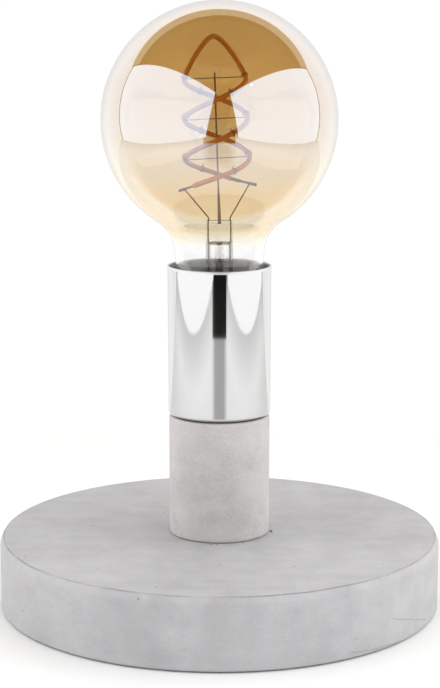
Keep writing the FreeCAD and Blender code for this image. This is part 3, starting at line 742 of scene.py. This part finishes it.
def tube(points: Sequence[Vector], radius: float, sides: int) -> Mesh:
    """Round cord of one thickness along a line of points.

    Args:
        points: Points in millimetres.
        radius: Radius in millimetres.
        sides: Facets of a quarter of its section.

    Returns:
        The closed mesh, ring after ring from the first point.
    """
    curve = bpy.data.curves.new("cord_line", "CURVE")
    curve.dimensions, curve.use_fill_caps = "3D", True
    curve.bevel_depth, curve.bevel_resolution = radius * MM, sides
    spline = curve.splines.new("POLY")
    spline.points.add(len(points) - 1)
    for control, point in zip(spline.points, points):
        control.co = (*(point * MM), 1.0)
    line = bpy.data.objects.new("cord_line", curve)
    made = bpy.data.meshes.new_from_object(line)
    mesh = bmesh.new()
    mesh.from_mesh(made)
    bmesh.ops.remove_doubles(mesh, verts=mesh.verts, dist=0.0005 * MM)
    bmesh.ops.recalc_face_normals(mesh, faces=mesh.faces)
    bpy.data.objects.remove(line)
    bpy.data.curves.remove(curve)
    bpy.data.meshes.remove(made)
    return mesh


def linked(name: str, data: bpy.types.ID) -> Object:
    """Adds an object with its data to the scene.

    Args:
        name: Its name.
        data: Its mesh, light or camera.

    Returns:
        The new object.
    """
    made = bpy.data.objects.new(name, data)
    bpy.context.scene.collection.objects.link(made)
    return made


def solid(name: str, mesh: Mesh) -> Object:
    """Adds an object that holds a mesh.

    Args:
        name: Its name.
        mesh: Its mesh, which is freed.

    Returns:
        The new object.
    """
    data = bpy.data.meshes.new(name)
    mesh.to_mesh(data)
    mesh.free()
    return linked(name, data)


def cut_away(mesh: Mesh, tools: Sequence[Mesh]) -> Mesh:
    """Cuts tool shapes out of a closed mesh.

    Args:
        mesh: The mesh that is cut, which is freed.
        tools: The shapes taken out, which are freed.

    Returns:
        The cut mesh.
    """
    work, cutters = solid("cut_work", mesh), [solid("cut_tool", tool) for tool in tools]
    for cutter in cutters:
        step = work.modifiers.new("cut", "BOOLEAN")
        step.operation, step.solver, step.object = "DIFFERENCE", "EXACT", cutter
    bpy.context.view_layer.update()
    result = bpy.data.meshes.new_from_object(work.evaluated_get(bpy.context.evaluated_depsgraph_get()))
    cut = bmesh.new()
    cut.from_mesh(result)
    spent = [extra.data for extra in (work, *cutters)] + [result]
    for extra in (work, *cutters):
        bpy.data.objects.remove(extra)
    for data in spent:
        bpy.data.meshes.remove(data)
    return cut


def wave_threads(mesh: Mesh, pitch: float, depth: float, heights: Pair, radii: Pair) -> None:
    """Presses a right-handed round thread into a turned sleeve.

    Args:
        mesh: The sleeve, with rings close enough together for the wave.
        pitch: Height of one turn.
        depth: Depth from crest to root.
        heights: Heights where the thread starts and ends.
        radii: Least and greatest radius of the walls that it shapes.
    """
    low, high = heights
    for vert in mesh.verts:
        height, radius = vert.co.z / MM, vert.co.xy.length / MM
        if low < height < high and radii[0] < radius < radii[1]:
            turn = math.atan2(vert.co.y, vert.co.x) / TURN
            wave = 0.5 - 0.5 * math.cos(TURN * (height / pitch - turn))
            ease = min(1.0, (height - low) / pitch, (high - height) / pitch)
            vert.co.xy *= (radius - depth * wave * ease) / radius


def patch(vert: bmesh.types.BMVert, scale: float, shift: Vector = Vector()) -> float:
    """Cloudy pattern from zero to one at a point."""
    return noise.noise(vert.co * scale + shift) * 0.5 + 0.5


def outward(degrees: float) -> Vector:
    """Level direction at a bearing."""
    return Vector((math.cos(math.radians(degrees)), math.sin(math.radians(degrees)), 0))


def evenly(start: float, end: float, count: int) -> list[float]:
    """Values at equal steps from start to end."""
    return [start + (end - start) * step / count for step in range(count + 1)]


@dataclass
class SubAssembly:
    """Group of the lamp's pieces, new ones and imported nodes."""

    nodes: dict[str, Object]

    def build(self) -> None:
        """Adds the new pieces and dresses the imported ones."""
        raise NotImplementedError

    def piece(self, name: str, mesh: Mesh, body: Body, slot: Slot, finishes: Sequence[Finish],
              *stands_for: str, sharp: float = 32.0) -> Object:
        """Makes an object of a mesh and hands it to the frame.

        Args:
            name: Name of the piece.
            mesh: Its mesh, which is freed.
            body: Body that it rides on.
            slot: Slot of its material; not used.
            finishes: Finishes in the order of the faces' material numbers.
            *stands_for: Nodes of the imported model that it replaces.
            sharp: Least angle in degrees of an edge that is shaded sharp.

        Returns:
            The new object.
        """
        made = solid(name, mesh)
        made.data.shade_smooth()
        made.data.set_sharp_from_angle(angle=math.radians(sharp))
        for kind in finishes:
            made.data.materials.append(kind.material())
        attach(made, body.value)
        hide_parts(*stands_for)
        LOG.info("%s: %d faces, rides on %s", name, len(made.data.polygons), body.value)
        return made

    def dress(self, kind: Finish, *nodes: str) -> None:
        """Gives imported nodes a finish.

        Args:
            kind: The finish.
            *nodes: Names of the nodes.
        """
        for node in nodes:
            for slot in self.nodes[node].material_slots:
                slot.link, slot.material = "OBJECT", kind.material()
            LOG.info("%s: dressed as %s", node, kind.name)


# The lamp's sub-assemblies


@dataclass
class ConcreteBody(SubAssembly):
    """Cast disc and stem."""

    radius: float = 90.5
    bottom: float = 0.6
    top: float = 29.4
    bevel_width: float = 1.3
    bevel_drop: float = 2.4
    bevel_rounding: float = 4.0
    arris: float = 0.12
    recess_radius: float = 82.5
    recess_top: float = 2.0
    recess_rounding: float = 0.4
    pocket_radius: float = 26.0
    pocket_top: float = 15.6
    foot_rounding: float = 0.8
    side_rings: Pair = (2.0, 14.0)
    top_rings: Pair = (80.0, 50.0)
    bore: float = 5.4
    duct_radius: float = 5.0
    duct_height: float = 9.2
    duct_reach: Pair = (20.0, 96.0)
    spotface_radius: float = 7.4
    spotface_reach: Pair = (89.1, 100.0)
    stem_radius: float = 20.6
    stem_top: float = 79.0
    stem_rounding: float = 1.2
    stem_ring: float = 55.0
    foot_rings: tuple[float, ...] = (2.0, 3.2, 4.4, 5.6, 6.8)
    rough_height: float = 4.0
    skins: Pair = (3.0, 1.5)
    rim_wear: Pair = (0.25, 0.12)
    stem_wear: Pair = (0.35, 0.1)

    def build(self) -> None:
        """Adds the disc and the stem."""
        self.piece("disc_casting", self.disc(), Body.LAMP, Slot.CONCRETE, [DISC_CONCRETE], "concrete_base")
        self.piece("stem_casting", self.stem(), Body.LAMP, Slot.CONCRETE, [STEM_CONCRETE], "concrete_stem")

    def disc(self) -> Mesh:
        """Disc with its recess, pocket, bore and cable duct.

        Returns:
            The closed mesh.
        """
        body = turned([
            Corner(self.bore, self.pocket_top),
            Corner(self.pocket_radius, self.pocket_top, self.foot_rounding),
            Corner(self.pocket_radius, self.recess_top, self.recess_rounding),
            Corner(self.recess_radius, self.recess_top, self.recess_rounding),
            Corner(self.recess_radius, self.bottom, self.recess_rounding),
            Corner(self.radius, self.bottom, self.foot_rounding),
            *[Corner(self.radius, height) for height in self.side_rings],
            Corner(self.radius, self.top - self.bevel_drop, self.bevel_rounding),
            Corner(self.radius - self.bevel_width, self.top, self.arris),
            *[Corner(radius, self.top) for radius in self.top_rings],
            Corner(self.bore, self.top)], 320)
        for vert in body.verts:
            self.settle(vert)
        cuts = ((self.duct_reach, self.duct_radius, 48), (self.spotface_reach, self.spotface_radius, 64))
        return cut_away(body, [rod(*[Vector((0, y, self.duct_height)) for y in reach], radius, sides)
                               for reach, radius, sides in cuts])

    def settle(self, vert: bmesh.types.BMVert) -> None:
        """Moves a point of the rim inwards a little, as a hand-finished casting is uneven.

        Args:
            vert: The point.
        """
        if vert.co.xy.length > (self.radius - self.skins[0]) * MM:
            slow, quick = patch(vert, 30), patch(vert, 160, Vector((7, 3, 1)))
            vert.co.xy *= 1 - (self.rim_wear[0] * slow + self.rim_wear[1] * quick) / self.radius

    def stem(self) -> Mesh:
        """Stem with a slightly rough foot.

        Returns:
            The closed mesh.
        """
        radius, top = self.stem_radius, self.stem_top
        body = turned([
            Corner(self.bore, self.top), Corner(radius, self.top, self.foot_rounding),
            *[Corner(radius, self.top + height) for height in self.foot_rings],
            Corner(radius, self.stem_ring), Corner(radius, top - self.stem_rounding - self.recess_rounding),
            Corner(radius, top, self.stem_rounding), Corner(self.bore, top)], 160)
        for vert in body.verts:
            if vert.co.xy.length > (radius - self.skins[1]) * MM:
                near = max(0.0, 1 - (vert.co.z / MM - self.top) / self.rough_height)
                foot, slow = near * patch(vert, 260), patch(vert, 70)
                vert.co.xy *= 1 - (self.stem_wear[0] * foot + self.stem_wear[1] * slow) / radius
        return body


@dataclass
class Underside(SubAssembly):
    """Pad, cable bush and the nuts and washers on the threaded tube."""

    pad_radius: float = 82.0
    pad_thickness: float = 2.0
    duct_height: float = 9.2
    seat: float = 89.1
    bore: float = 3.3
    sleeve_radius: float = 5.0
    sleeve_length: float = 14.0
    flange_radius: float = 7.0
    flange_thickness: float = 1.2
    rib_starts: Pair = (-9.0, -5.0)
    rib_rise: float = 0.3
    rounding: float = 0.4

    def build(self) -> None:
        """Adds the pad and bush and dresses the hardware."""
        pad = turned([Corner(0, 0), Corner(self.pad_radius, 0, 0.5),
                      Corner(self.pad_radius, self.pad_thickness, 0.3), Corner(0, self.pad_thickness)],
                     192, closed=False)
        self.piece("foam_pad_disc", pad, Body.LAMP, Slot.FOAM, [FOAM], "base_pad")
        self.piece("inlet_bush", self.bush(), Body.LAMP, Slot.BLACK_PLASTIC, [BLACK_PLASTIC], "cable_bush")
        self.dress(ZINC, "base_washer", "base_spring_washer", "base_nut", "cup_tooth_washer", "cup_nut",
                   "holder_lock_screw")
        self.dress(TUBE_THREAD, "threaded_tube")
        self.dress(TINNED, "earth_tag")

    def bush(self) -> Mesh:
        """Flanged bush with two grip ribs on its sleeve, turned to face the rear.

        Returns:
            The closed mesh.
        """
        low = self.sleeve_radius - self.rib_rise
        ribs = [Corner(low + rise, start + along) for start in self.rib_starts
                for rise, along in ((0, 0), (self.rib_rise, 0.4), (self.rib_rise, 1.2), (0, 1.6))]
        mesh = turned([
            Corner(self.bore, -self.sleeve_length, self.rounding),
            Corner(low, -self.sleeve_length, self.rounding), *ribs, Corner(low, 0),
            Corner(self.flange_radius, 0, 0.2), Corner(self.flange_radius, self.flange_thickness, 0.6),
            Corner(self.bore, self.flange_thickness, 0.6)], 72)
        place = Matrix.Translation(Vector((0, self.seat, self.duct_height)) * MM)
        mesh.transform(place @ Matrix.Rotation(-math.pi / 2, 4, "X"))
        return mesh


@dataclass
class Cup(SubAssembly):
    """Thin chromed cup that hides the lampholder."""

    bottom: float = 79.0
    top: float = 140.3
    rim_radius: float = 21.1
    foot_radius: float = 20.9
    wall: float = 0.8
    foot_rounding: float = 1.8
    foot_ease: float = 0.4
    rim_rounding: float = 0.35
    rim_band: float = 1.1
    shaded_foot_band: float = 0.75
    bore: float = 5.4

    def build(self) -> None:
        """Adds the cup, with its rim and inside in finishes of their own, and its foot band painted dark as
        shade.
        """
        foot = self.bottom + self.foot_rounding + self.foot_ease
        mesh = turned([
            Corner(self.bore, self.bottom),
            Corner(self.foot_radius, self.bottom, self.foot_rounding),
            Corner(self.foot_radius, foot),
            Corner(self.rim_radius, self.top - self.rim_band),
            Corner(self.rim_radius, self.top, self.rim_rounding),
            Corner(self.rim_radius - self.wall, self.top, self.rim_rounding),
            Corner(self.rim_radius - self.wall, self.top - self.rim_band),
            Corner(self.foot_radius - self.wall, foot),
            Corner(self.foot_radius - self.wall, self.bottom + self.wall, self.foot_rounding - self.wall),
            Corner(self.bore, self.bottom + self.wall)], 256, segments=8)
        for face in mesh.faces:
            middle = face.calc_center_median()
            if middle.z > (self.top - self.rim_band) * MM:
                face.material_index = 1
            # Faces of the foot band get the painted shade of the gap under the cup.
            elif middle.z < (self.bottom + self.shaded_foot_band) * MM:
                face.material_index = 2
            elif middle.xy.length < (self.foot_radius - self.wall / 2) * MM:
                face.material_index = 3
        self.piece("chromed_cup", mesh, Body.LAMP, Slot.CHROME,
                   [CHROME, RIM_CHROME, CUP_FOOT_SHADE, INNER_CHROME], "chrome_cup")


@dataclass
class Lampholder(SubAssembly):
    """Phenolic dome and skirt, ceramic block and brass shell with its thread."""

    thread_pitch: float = 3.629
    thread_depth: float = 0.2
    core_top: float = 104.9
    shell_inner: float = 13.3
    shell_wall: float = 0.4
    shell_top: float = 126.9
    shell_flange: float = 4.4
    thread_starts: Pair = (0.6, 1.0)
    margin: float = 0.1
    skirt_radius: float = 19.2
    skirt_inner: float = 14.1
    spigot_radius: float = 17.3
    dome_rim: float = 110.9
    skirt_top: float = 133.9
    groove: tuple[Pair, ...] = ((0.0, 7.0), (0.4, 6.6), (0.4, 5.4), (0.0, 5.0))
    mouth_radius: float = 16.8
    mouth_height: float = 5.0

    def build(self) -> None:
        """Adds the shell and skirt and dresses the rest."""
        self.piece("threaded_shell", self.shell(), Body.LAMP, Slot.BRASS, [BRASS], "socket_shell")
        self.piece("ribbed_skirt", self.skirt(), Body.LAMP, Slot.BLACK_PLASTIC, [BLACK_PLASTIC],
                   "holder_skirt")
        self.dress(BLACK_PLASTIC, "holder_dome")
        self.dress(CERAMIC, "holder_core")
        self.dress(BRASS, "holder_collar", "terminal_blocks", "centre_contact")
        self.dress(ZINC, "terminal_screws")

    def shell(self) -> Mesh:
        """Thin brass sleeve with a pressed round thread.

        Returns:
            The closed mesh.
        """
        inner, outer = self.shell_inner, self.shell_inner + self.shell_wall
        first, low = [self.core_top + height for height in self.thread_starts]
        heights = evenly(first, self.shell_top, 66)
        mesh = turned([
            Corner(outer - self.shell_flange, self.core_top), Corner(outer, self.core_top),
            *[Corner(outer, height) for height in heights],
            *[Corner(inner, height) for height in reversed(heights)],
            Corner(outer - self.shell_flange, self.core_top + self.shell_wall)], 96)
        wave_threads(mesh, self.thread_pitch, self.thread_depth, (low, self.shell_top),
                     (inner - self.margin, outer + self.margin))
        return mesh

    def skirt(self) -> Mesh:
        """Skirt with a spigot below, a shallow groove and a flared mouth.

        Returns:
            The closed mesh.
        """
        return turned([
            Corner(self.skirt_inner, self.core_top, 0.2),
            Corner(self.spigot_radius, self.core_top, 0.3),
            Corner(self.spigot_radius, self.dome_rim),
            Corner(self.skirt_radius, self.dome_rim, 0.4),
            *[Corner(self.skirt_radius - depth, self.skirt_top - drop) for depth, drop in self.groove],
            Corner(self.skirt_radius, self.skirt_top, 0.6),
            Corner(self.mouth_radius, self.skirt_top, 0.5),
            Corner(self.skirt_inner, self.skirt_top - self.mouth_height, 0.5)], 144)


@dataclass
class BulbCap(SubAssembly):
    """Screw cap of the bulb with its contact, insulator and cement."""

    thread_pitch: float = 3.629
    thread_depth: float = 0.75
    wall: float = 0.3
    foot: float = 113.55
    foot_radius: float = 11.45
    thread_radius: float = 12.95
    thread_heights: Pair = (115.15, 128.9)
    skirt_radius: float = 13.45
    skirt_bottom: float = 130.1
    top: float = 134.4
    lip: Pair = (0.1, 0.5)
    margin: float = 0.1

    def build(self) -> None:
        """Adds the cap's shell and dresses the rest."""
        self.piece("threaded_cap", self.shell(), Body.BULB, Slot.CAP_METAL, [CAP_METAL], "cap_shell")
        self.dress(SOLDER, "cap_contact")
        self.dress(BLACK_GLASS, "cap_insulator")
        self.dress(CEMENT, "cap_cement")
        self.dress(LAMINATE, "driver_board")
        self.dress(BLACK_PLASTIC, "driver_capacitor", "driver_chip")
        self.dress(WIRE, "contact_wire")

    def shell(self) -> Mesh:
        """Thin cap with a rolled round thread and crimped collar.

        Returns:
            The closed mesh.
        """
        outside = [Corner(self.foot_radius, self.foot),
                   *[Corner(self.thread_radius, height) for height in evenly(*self.thread_heights, 48)],
                   Corner(self.skirt_radius, self.skirt_bottom, self.lip[1]),
                   Corner(self.skirt_radius, self.top - self.lip[1]),
                   Corner(self.skirt_radius - self.lip[0], self.top)]
        inside = [Corner(corner.radius - self.wall, corner.height, corner.rounding)
                  for corner in reversed(outside)]
        mesh = turned(outside + inside, 128)
        wave_threads(mesh, self.thread_pitch, self.thread_depth, self.thread_heights,
                     (self.thread_radius - self.wall - self.margin, self.thread_radius + self.margin))
        return mesh


@dataclass
class Globe(SubAssembly):
    """Blown globe with an amber mirror coat, its neck, and the glass stem inside."""

    radius: float = 47.5
    centre: float = 198.4
    wall: float = 0.9
    neck_radius: float = 18.2
    neck_top: float = 144.9
    neck_foot_radius: float = 17.7
    neck_foot: float = 140.5
    neck_rounding: float = 3.0
    waist_radius: float = 12.3
    waist: float = 135.3
    waist_rounding: float = 1.6
    end_radius: float = 12.0
    end: float = 126.9
    shoulder: float = 16.0
    ball_steps: int = 96
    shoulder_steps: int = 12

    def build(self) -> None:
        """Adds the globe, coated on the outside only, and dresses the glass inside it."""
        mesh = turned(self.wall_line(0) + self.wall_line(self.wall)[::-1], 224, closed=False)
        middle = Vector((0, 0, self.centre * MM))
        for face in mesh.faces:
            spot = face.calc_center_median()
            out = spot - middle if spot.z > self.neck_top * MM else Vector((spot.x, spot.y, 0))
            face.material_index = 0 if face.normal.dot(out) > 0 else 1
        glass = self.piece("globe_glass", mesh, Body.BULB, Slot.AMBER_GLASS, [AMBER_COAT, INNER_GLASS],
                           "bulb_glass", sharp=60)
        glass.visible_shadow = False
        self.dress(CLEAR_GLASS, "glass_stem", "exhaust_tube")

    def wall_line(self, inset: float) -> list[Corner]:
        """Outline of one side of the glass from the crown down to the end of the neck.

        Args:
            inset: How far inside the outer surface it lies.

        Returns:
            Corners from the axis outwards and down.
        """
        ball, shoulder = self.radius - inset, self.shoulder + inset
        across = self.neck_radius - inset + shoulder
        seam = math.atan2(-math.sqrt((ball + shoulder) ** 2 - across ** 2), across)
        crown = [Corner(max(0.0, ball * math.cos(angle)), self.centre + ball * math.sin(angle))
                 for angle in evenly(math.pi / 2, seam, self.ball_steps)]
        curve = [Corner(across - shoulder * math.cos(angle), self.neck_top - shoulder * math.sin(angle))
                 for angle in evenly(seam, 0.0, self.shoulder_steps)[1:]]
        return crown + curve + [
            Corner(self.neck_foot_radius - inset, self.neck_foot, self.neck_rounding),
            Corner(self.waist_radius - inset, self.waist, self.waist_rounding),
            Corner(self.end_radius - inset, self.end)]


@dataclass
class LightStrip(SubAssembly):
    """Flexible light strip wound as a double helix, its post, hooks, ties, clips and leads."""

    press_top: float = 158.3
    lobe_height: float = 25.0
    pitch: float = 31.5
    left_tail_pitch: float = 25.9
    right_tail_pitch: float = 30.0
    low_radius: float = 12.9
    top_radius: float = 12.25
    apex_rise: float = 16.7
    left_tail: float = 0.38
    right_tail: float = 0.32
    lobe_reach: float = 4.6
    apex_reach: float = 5.8
    apex_bearing: float = 45.0
    lean: float = 1.85
    radius: float = 1.0
    samples: int = 44

    def build(self) -> None:
        """Adds the strip and dresses everything that holds it."""
        self.piece("amber_light_strip", self.strip(), Body.BULB, Slot.SILICONE, [SILICONE], "light_strip")
        self.dress(WIRE, "support_post", "hook_wire_lower", "hook_wire_middle", "hook_wire_upper",
                   "strip_ties", "strip_clip_left", "strip_clip_right", "lead_wire_left", "lead_wire_right")

    def leaned(self, place: Vector) -> Vector:
        """Place of a point once the post leans, about the top of the glass press."""
        foot = Vector((0, 0, self.press_top))
        return foot + Matrix.Rotation(math.radians(-self.lean), 3, "Y") @ (place - foot)

    def leg(self, side: float, turn: float) -> tuple[Vector, Vector]:
        """Point and heading of one leg.

        Args:
            side: Bearing of its lowest lobe in degrees.
            turn: Turns above that lobe.

        Returns:
            The point and the unit heading.
        """
        radius = self.low_radius + (self.top_radius - self.low_radius) * max(turn, 0)
        out, up = outward(side + 360 * turn), Vector((0, 0, 1))
        tail_pitch = self.right_tail_pitch if side else self.left_tail_pitch
        pitch = self.pitch if turn > 0 else tail_pitch
        place = out * radius + up * (self.press_top + self.lobe_height + pitch * turn)
        return place, (up.cross(out) * TURN * radius + up * pitch).normalized()

    def arch(self, side: float, share: float) -> Vector:
        """Point of a leg's arch from its top lobe to the shared apex.

        Args:
            side: Bearing of the leg in degrees.
            share: Share of the way.

        Returns:
            The point.
        """
        start, heading = self.leg(side, 1.0)
        apex = Vector((0, 0, self.press_top + self.lobe_height + self.pitch + self.apex_rise))
        arrival = outward(side + 180 + self.apex_bearing) * self.apex_reach
        nodes = (start, start + heading * self.lobe_reach, apex - arrival, apex)
        rest = 1 - share
        weights = (rest ** 3, 3 * rest ** 2 * share, 3 * rest * share ** 2, share ** 3)
        return sum((node * weight for node, weight in zip(nodes, weights)), Vector())

    def half(self, side: float, tail: float) -> list[Vector]:
        """One leg from its free end to just short of the apex.

        Args:
            side: Bearing of its lowest lobe in degrees.
            tail: Turns of its tail below that lobe.

        Returns:
            Points in order.
        """
        turns = evenly(-tail, 1.0, self.samples * 3)[:-1]
        return [self.leg(side, turn)[0] for turn in turns] + [
            self.arch(side, step / self.samples) for step in range(self.samples)]

    def strip(self) -> Mesh:
        """Round silicone strip that carries its length from the end as an attribute.

        Returns:
            The closed mesh.
        """
        line = self.half(0, self.left_tail) + [self.arch(0, 1.0)] + self.half(180, self.right_tail)[::-1]
        line = [self.leaned(place) for place in line]
        mesh = tube(line, self.radius, 6)
        lengths = [0.0]
        for start, end in zip(line, line[1:]):
            lengths.append(lengths[-1] + (end - start).length)
        along = mesh.verts.layers.float.new(LENGTH_LAYER)
        ring = len(mesh.verts) // len(line)
        mesh.verts.ensure_lookup_table()
        for vert in mesh.verts:
            vert[along] = lengths[min(vert.index // ring, len(lengths) - 1)] * MM
        return mesh


# Studio


def flat(name: str, place: Matrix, extent: Pair, material: Material) -> Object:
    """Adds a flat sheet to the stage.

    Args:
        name: Name of the sheet.
        place: Place of its middle, and how it is turned.
        extent: Its two sides in metres.
        material: Its material.

    Returns:
        The new stage object.
    """
    mesh = bmesh.new()
    bmesh.ops.create_grid(mesh, x_segments=1, y_segments=1, size=0.5,
                          matrix=place @ Matrix.Diagonal((*extent, 1.0, 1.0)))
    laid = solid(name, mesh)
    laid.data.materials.append(material)
    return laid


def shine(name: str, kind: str, energy: float, **settings: object) -> Object:
    """Adds a light that the picture itself doesn't show.

    Args:
        name: Name of the light.
        kind: Blender's name of its type.
        energy: Its strength.
        **settings: Its other properties.

    Returns:
        The new light's object.
    """
    light = bpy.data.lights.new(name, kind)
    for key, value in settings.items():
        setattr(light, key, value)
    light.energy = energy
    lamp = linked(name, light)
    lamp.visible_camera = False
    return lamp


@dataclass
class Softbox:
    """Wide soft light that leans over the lamp and stands on the floor."""

    name: str
    bearing: float
    foot: float
    head: float
    top: float
    width: float
    radiance: float = 1.74
    back_gap: float = 0.004
    back_share: float = 1.05

    def build(self) -> None:
        """Adds the light, facing the lamp, with its opaque back."""
        tall = math.hypot(self.foot - self.head, self.top)
        lamp = shine(self.name, "AREA", self.radiance * self.width * tall * math.pi, shape="RECTANGLE",
                     size=self.width, size_y=tall)
        angle, middle = math.radians(self.bearing), (self.foot + self.head) / 2
        lean = math.atan2(self.foot - self.head, self.top)
        lamp.location = (middle * math.sin(angle), -middle * math.cos(angle), self.top / 2)
        lamp.rotation_euler = (math.pi / 2 - lean, 0, angle)
        place = Matrix.Translation(lamp.location) @ lamp.rotation_euler.to_matrix().to_4x4()
        back = flat(f"{self.name}_back", place @ Matrix.Translation((0, 0, self.back_gap)),
                    (self.width * self.back_share, tall * self.back_share), CLOTH.material())
        back.visible_camera = back.visible_diffuse = back.visible_shadow = False


@dataclass
class BroadLight:
    """Broad light that shines on the concrete and is left out of mirrors and glass."""

    name: str
    strength: float
    lean: float
    spread: float

    def build(self) -> None:
        """Adds the light, leaning from straight above by its degrees, to the right where positive."""
        lamp = shine(self.name, "SUN", self.strength, angle=math.radians(self.spread))
        lamp.rotation_euler = (0, math.radians(self.lean), 0)
        lamp.visible_glossy = lamp.visible_transmission = False


@dataclass
class Spark:
    """Small bright light that shows as a spark on the globe."""

    place: Point = (0.302, -0.442, 0.557)
    target: Point = (0.0, 0.0, 0.2)
    size: float = 0.017
    energy: float = 0.004

    def build(self) -> None:
        """Adds the light."""
        lamp = shine("spark_lamp", "AREA", self.energy, shape="DISK", size=self.size)
        lamp.location = self.place
        lamp.rotation_euler = (Vector(self.place) - Vector(self.target)).to_track_quat("Z", "Y").to_euler()
        lamp.visible_diffuse = lamp.visible_transmission = False


SOFTBOXES = (Softbox("softbox_left", -59.0, 0.66, 0.480, 0.655, 1.38),
             Softbox("softbox_right", 62.0, 0.66, 0.515, 0.62, 1.29))
SOFT_LIGHTS = (BroadLight("overhead_light", 2.35, 18.0, 110.0), BroadLight("left_fill", 0.85, -76.0, 60.0),
               BroadLight("right_fill", 0.65, 76.0, 60.0))


@dataclass
class Floor:
    """Pale sheet in the picture, and just below it the shaded sheet that the globe and cup mirror."""

    pale_size: Pair = (0.9, 0.7)
    pale_centre: Pair = (0.0, -0.05)
    pale_tone: float = 0.70
    shaded_size: Pair = (2.6, 1.55)
    shaded_centre: Pair = (0.0, -0.475)
    shaded_tone: float = 0.76
    shaded_drop: float = 0.0002
    shade: Colour = (0.012, 0.011, 0.010)
    # Painted shade on the shaded sheet: a dim strip in front of the lamp and a dark sector beyond it.
    shade_strip_reach: Pair = (0.27, 0.645)
    shade_strip_blur: float = 0.05
    shade_strip_bearing: float = 13.0
    shade_strip_strength: float = 0.5
    foot_shade: float = 0.42
    foot_reach: float = 0.22
    unevenness: float = 0.01

    def build(self) -> None:
        """Lays both sheets."""
        pale = flat("studio_floor", Matrix.Translation((*self.pale_centre, 0.0)), self.pale_size,
                    self.paper("pale_paper", self.pale_tone))
        pale.visible_glossy = pale.visible_diffuse = pale.visible_shadow = False
        shaded = flat("shaded_floor", Matrix.Translation((*self.shaded_centre, -self.shaded_drop)),
                      self.shaded_size, self.paper("shaded_paper", self.shaded_tone, shaded=True))
        shaded.visible_camera = shaded.visible_transmission = False

    def paper(self, name: str, tone: float, shaded: bool = False) -> Material:
        """Slightly uneven paper.

        Args:
            name: Name of the material.
            tone: Its mean brightness.
            shaded: Whether it has the photographer's shade.

        Returns:
            The material.
        """
        board = Board(name)
        low, high = [(tone + step,) * 3 for step in (-self.unevenness, self.unevenness)]
        colour = board.noise(2.0, 2).ramp((0.3, low), (0.7, high))
        if shaded:
            colour = board.blend(self.dimness(board), colour, self.shade)
        return board.finish(Base_Color=colour, Roughness=0.5, Specular_IOR_Level=0.1)

    def dimness(self, board: Board) -> Value:
        """Painted shade: a dim strip in front for the photographer's shadow, dark floor beyond the strip's
        far end, and dim feet of the softboxes.

        Args:
            board: The paper's board.

        Returns:
            Share of shade.
        """
        x, y, _ = board.axes()
        bearing, radius, (start, end) = abs(board.bearing()), board.radius(), self.shade_strip_reach
        edges = [math.radians(self.shade_strip_bearing + step) for step in (-4, 2, 4)]
        near = bearing.span(edges[0], edges[2], self.shade_strip_strength, 0.0)
        dim = near * radius.span(start - self.shade_strip_blur, start + self.shade_strip_blur)
        dim = dim.at_least((bearing < edges[1]) * (radius > end))
        for light in SOFTBOXES:
            angle = math.radians(light.bearing)
            out = x * math.sin(angle) - y * math.cos(angle)
            dim = dim.at_least(out.span(light.foot - self.foot_reach, light.foot, 0.0, self.foot_shade))
        return dim


@dataclass
class Backdrop:
    """White backdrop behind the lamp in an otherwise dark room, and plain white for the camera itself."""

    rise: float = 1.04
    spread: float = 2.9
    radiance: float = 1.03
    side_gain: float = 0.45
    gain_reach: Pair = (0.3, 0.9)
    warm: Colour = (1.0, 0.8, 0.5)
    side_warmth: float = 0.08
    glow: float = 0.6
    glow_rise: float = 1.6
    room: float = 0.02

    def build(self) -> None:
        """Sets the scene's world."""
        sky = Board("studio_world", world=True)
        x, y, z = sky.axes()
        behind = y.at_least(0.0001)
        rise, spread = z / behind, abs(x) / behind
        far = sky.math("SQRT", rise * rise + spread * spread).span(*self.gain_reach)
        wall = (rise < self.rise) * (spread < self.spread) * (far * self.side_gain + 1.0)
        glow = (rise < self.glow_rise * self.rise) * (y > 0.0) * self.glow
        camera = sky.read("ShaderNodeLightPath", "Is Camera Ray")
        room = wall.at_least(glow).at_least(self.room).at_least(camera)
        plain = (1.0 - far * self.side_warmth) * sky.math("MINIMUM", wall, 1.0)
        tone = sky.blend(plain.at_least(camera), self.warm, (1.0, 1.0, 1.0))
        bpy.context.scene.world = sky.close(
            sky.read("ShaderNodeBackground", Color=tone, Strength=room * self.radiance))


@dataclass
class Camera:
    """The photograph's camera, in front of the lamp and tilted down."""

    distance: float = 0.750
    height: float = 0.2442
    pitch: float = 10.31
    focal_pixels: float = 1872.0
    frame_height: float = 688.0
    centre_shift: float = 0.6
    sensor: float = 36.0

    def build(self) -> None:
        """Adds the camera."""
        data = bpy.data.cameras.new("photo_camera")
        data.sensor_width, data.lens = self.sensor, self.sensor * self.focal_pixels / self.frame_height
        data.shift_x = self.centre_shift / self.frame_height
        camera = linked("photo_camera", data)
        look = Matrix.Rotation(math.radians(90 - self.pitch), 4, "X")
        camera.matrix_world = Matrix.Translation((0, -self.distance, self.height)) @ look
        bpy.context.scene.camera = camera


def main() -> None:
    """Builds every sub-assembly in order, then the studio."""
    logging.basicConfig(level=logging.INFO, format="%(name)s %(message)s")
    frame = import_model()
    for kind in (ConcreteBody, Underside, Cup, Lampholder, BulbCap, Globe, LightStrip):
        kind(frame["nodes"]).build()
    bpy.context.scene.view_settings.view_transform = "Standard"
    for item in (Floor(), *SOFTBOXES, *SOFT_LIGHTS, Spark(), Backdrop(), Camera()):
        item.build()
    bpy.context.view_layer.update()


if __name__ == "__main__":
    main()
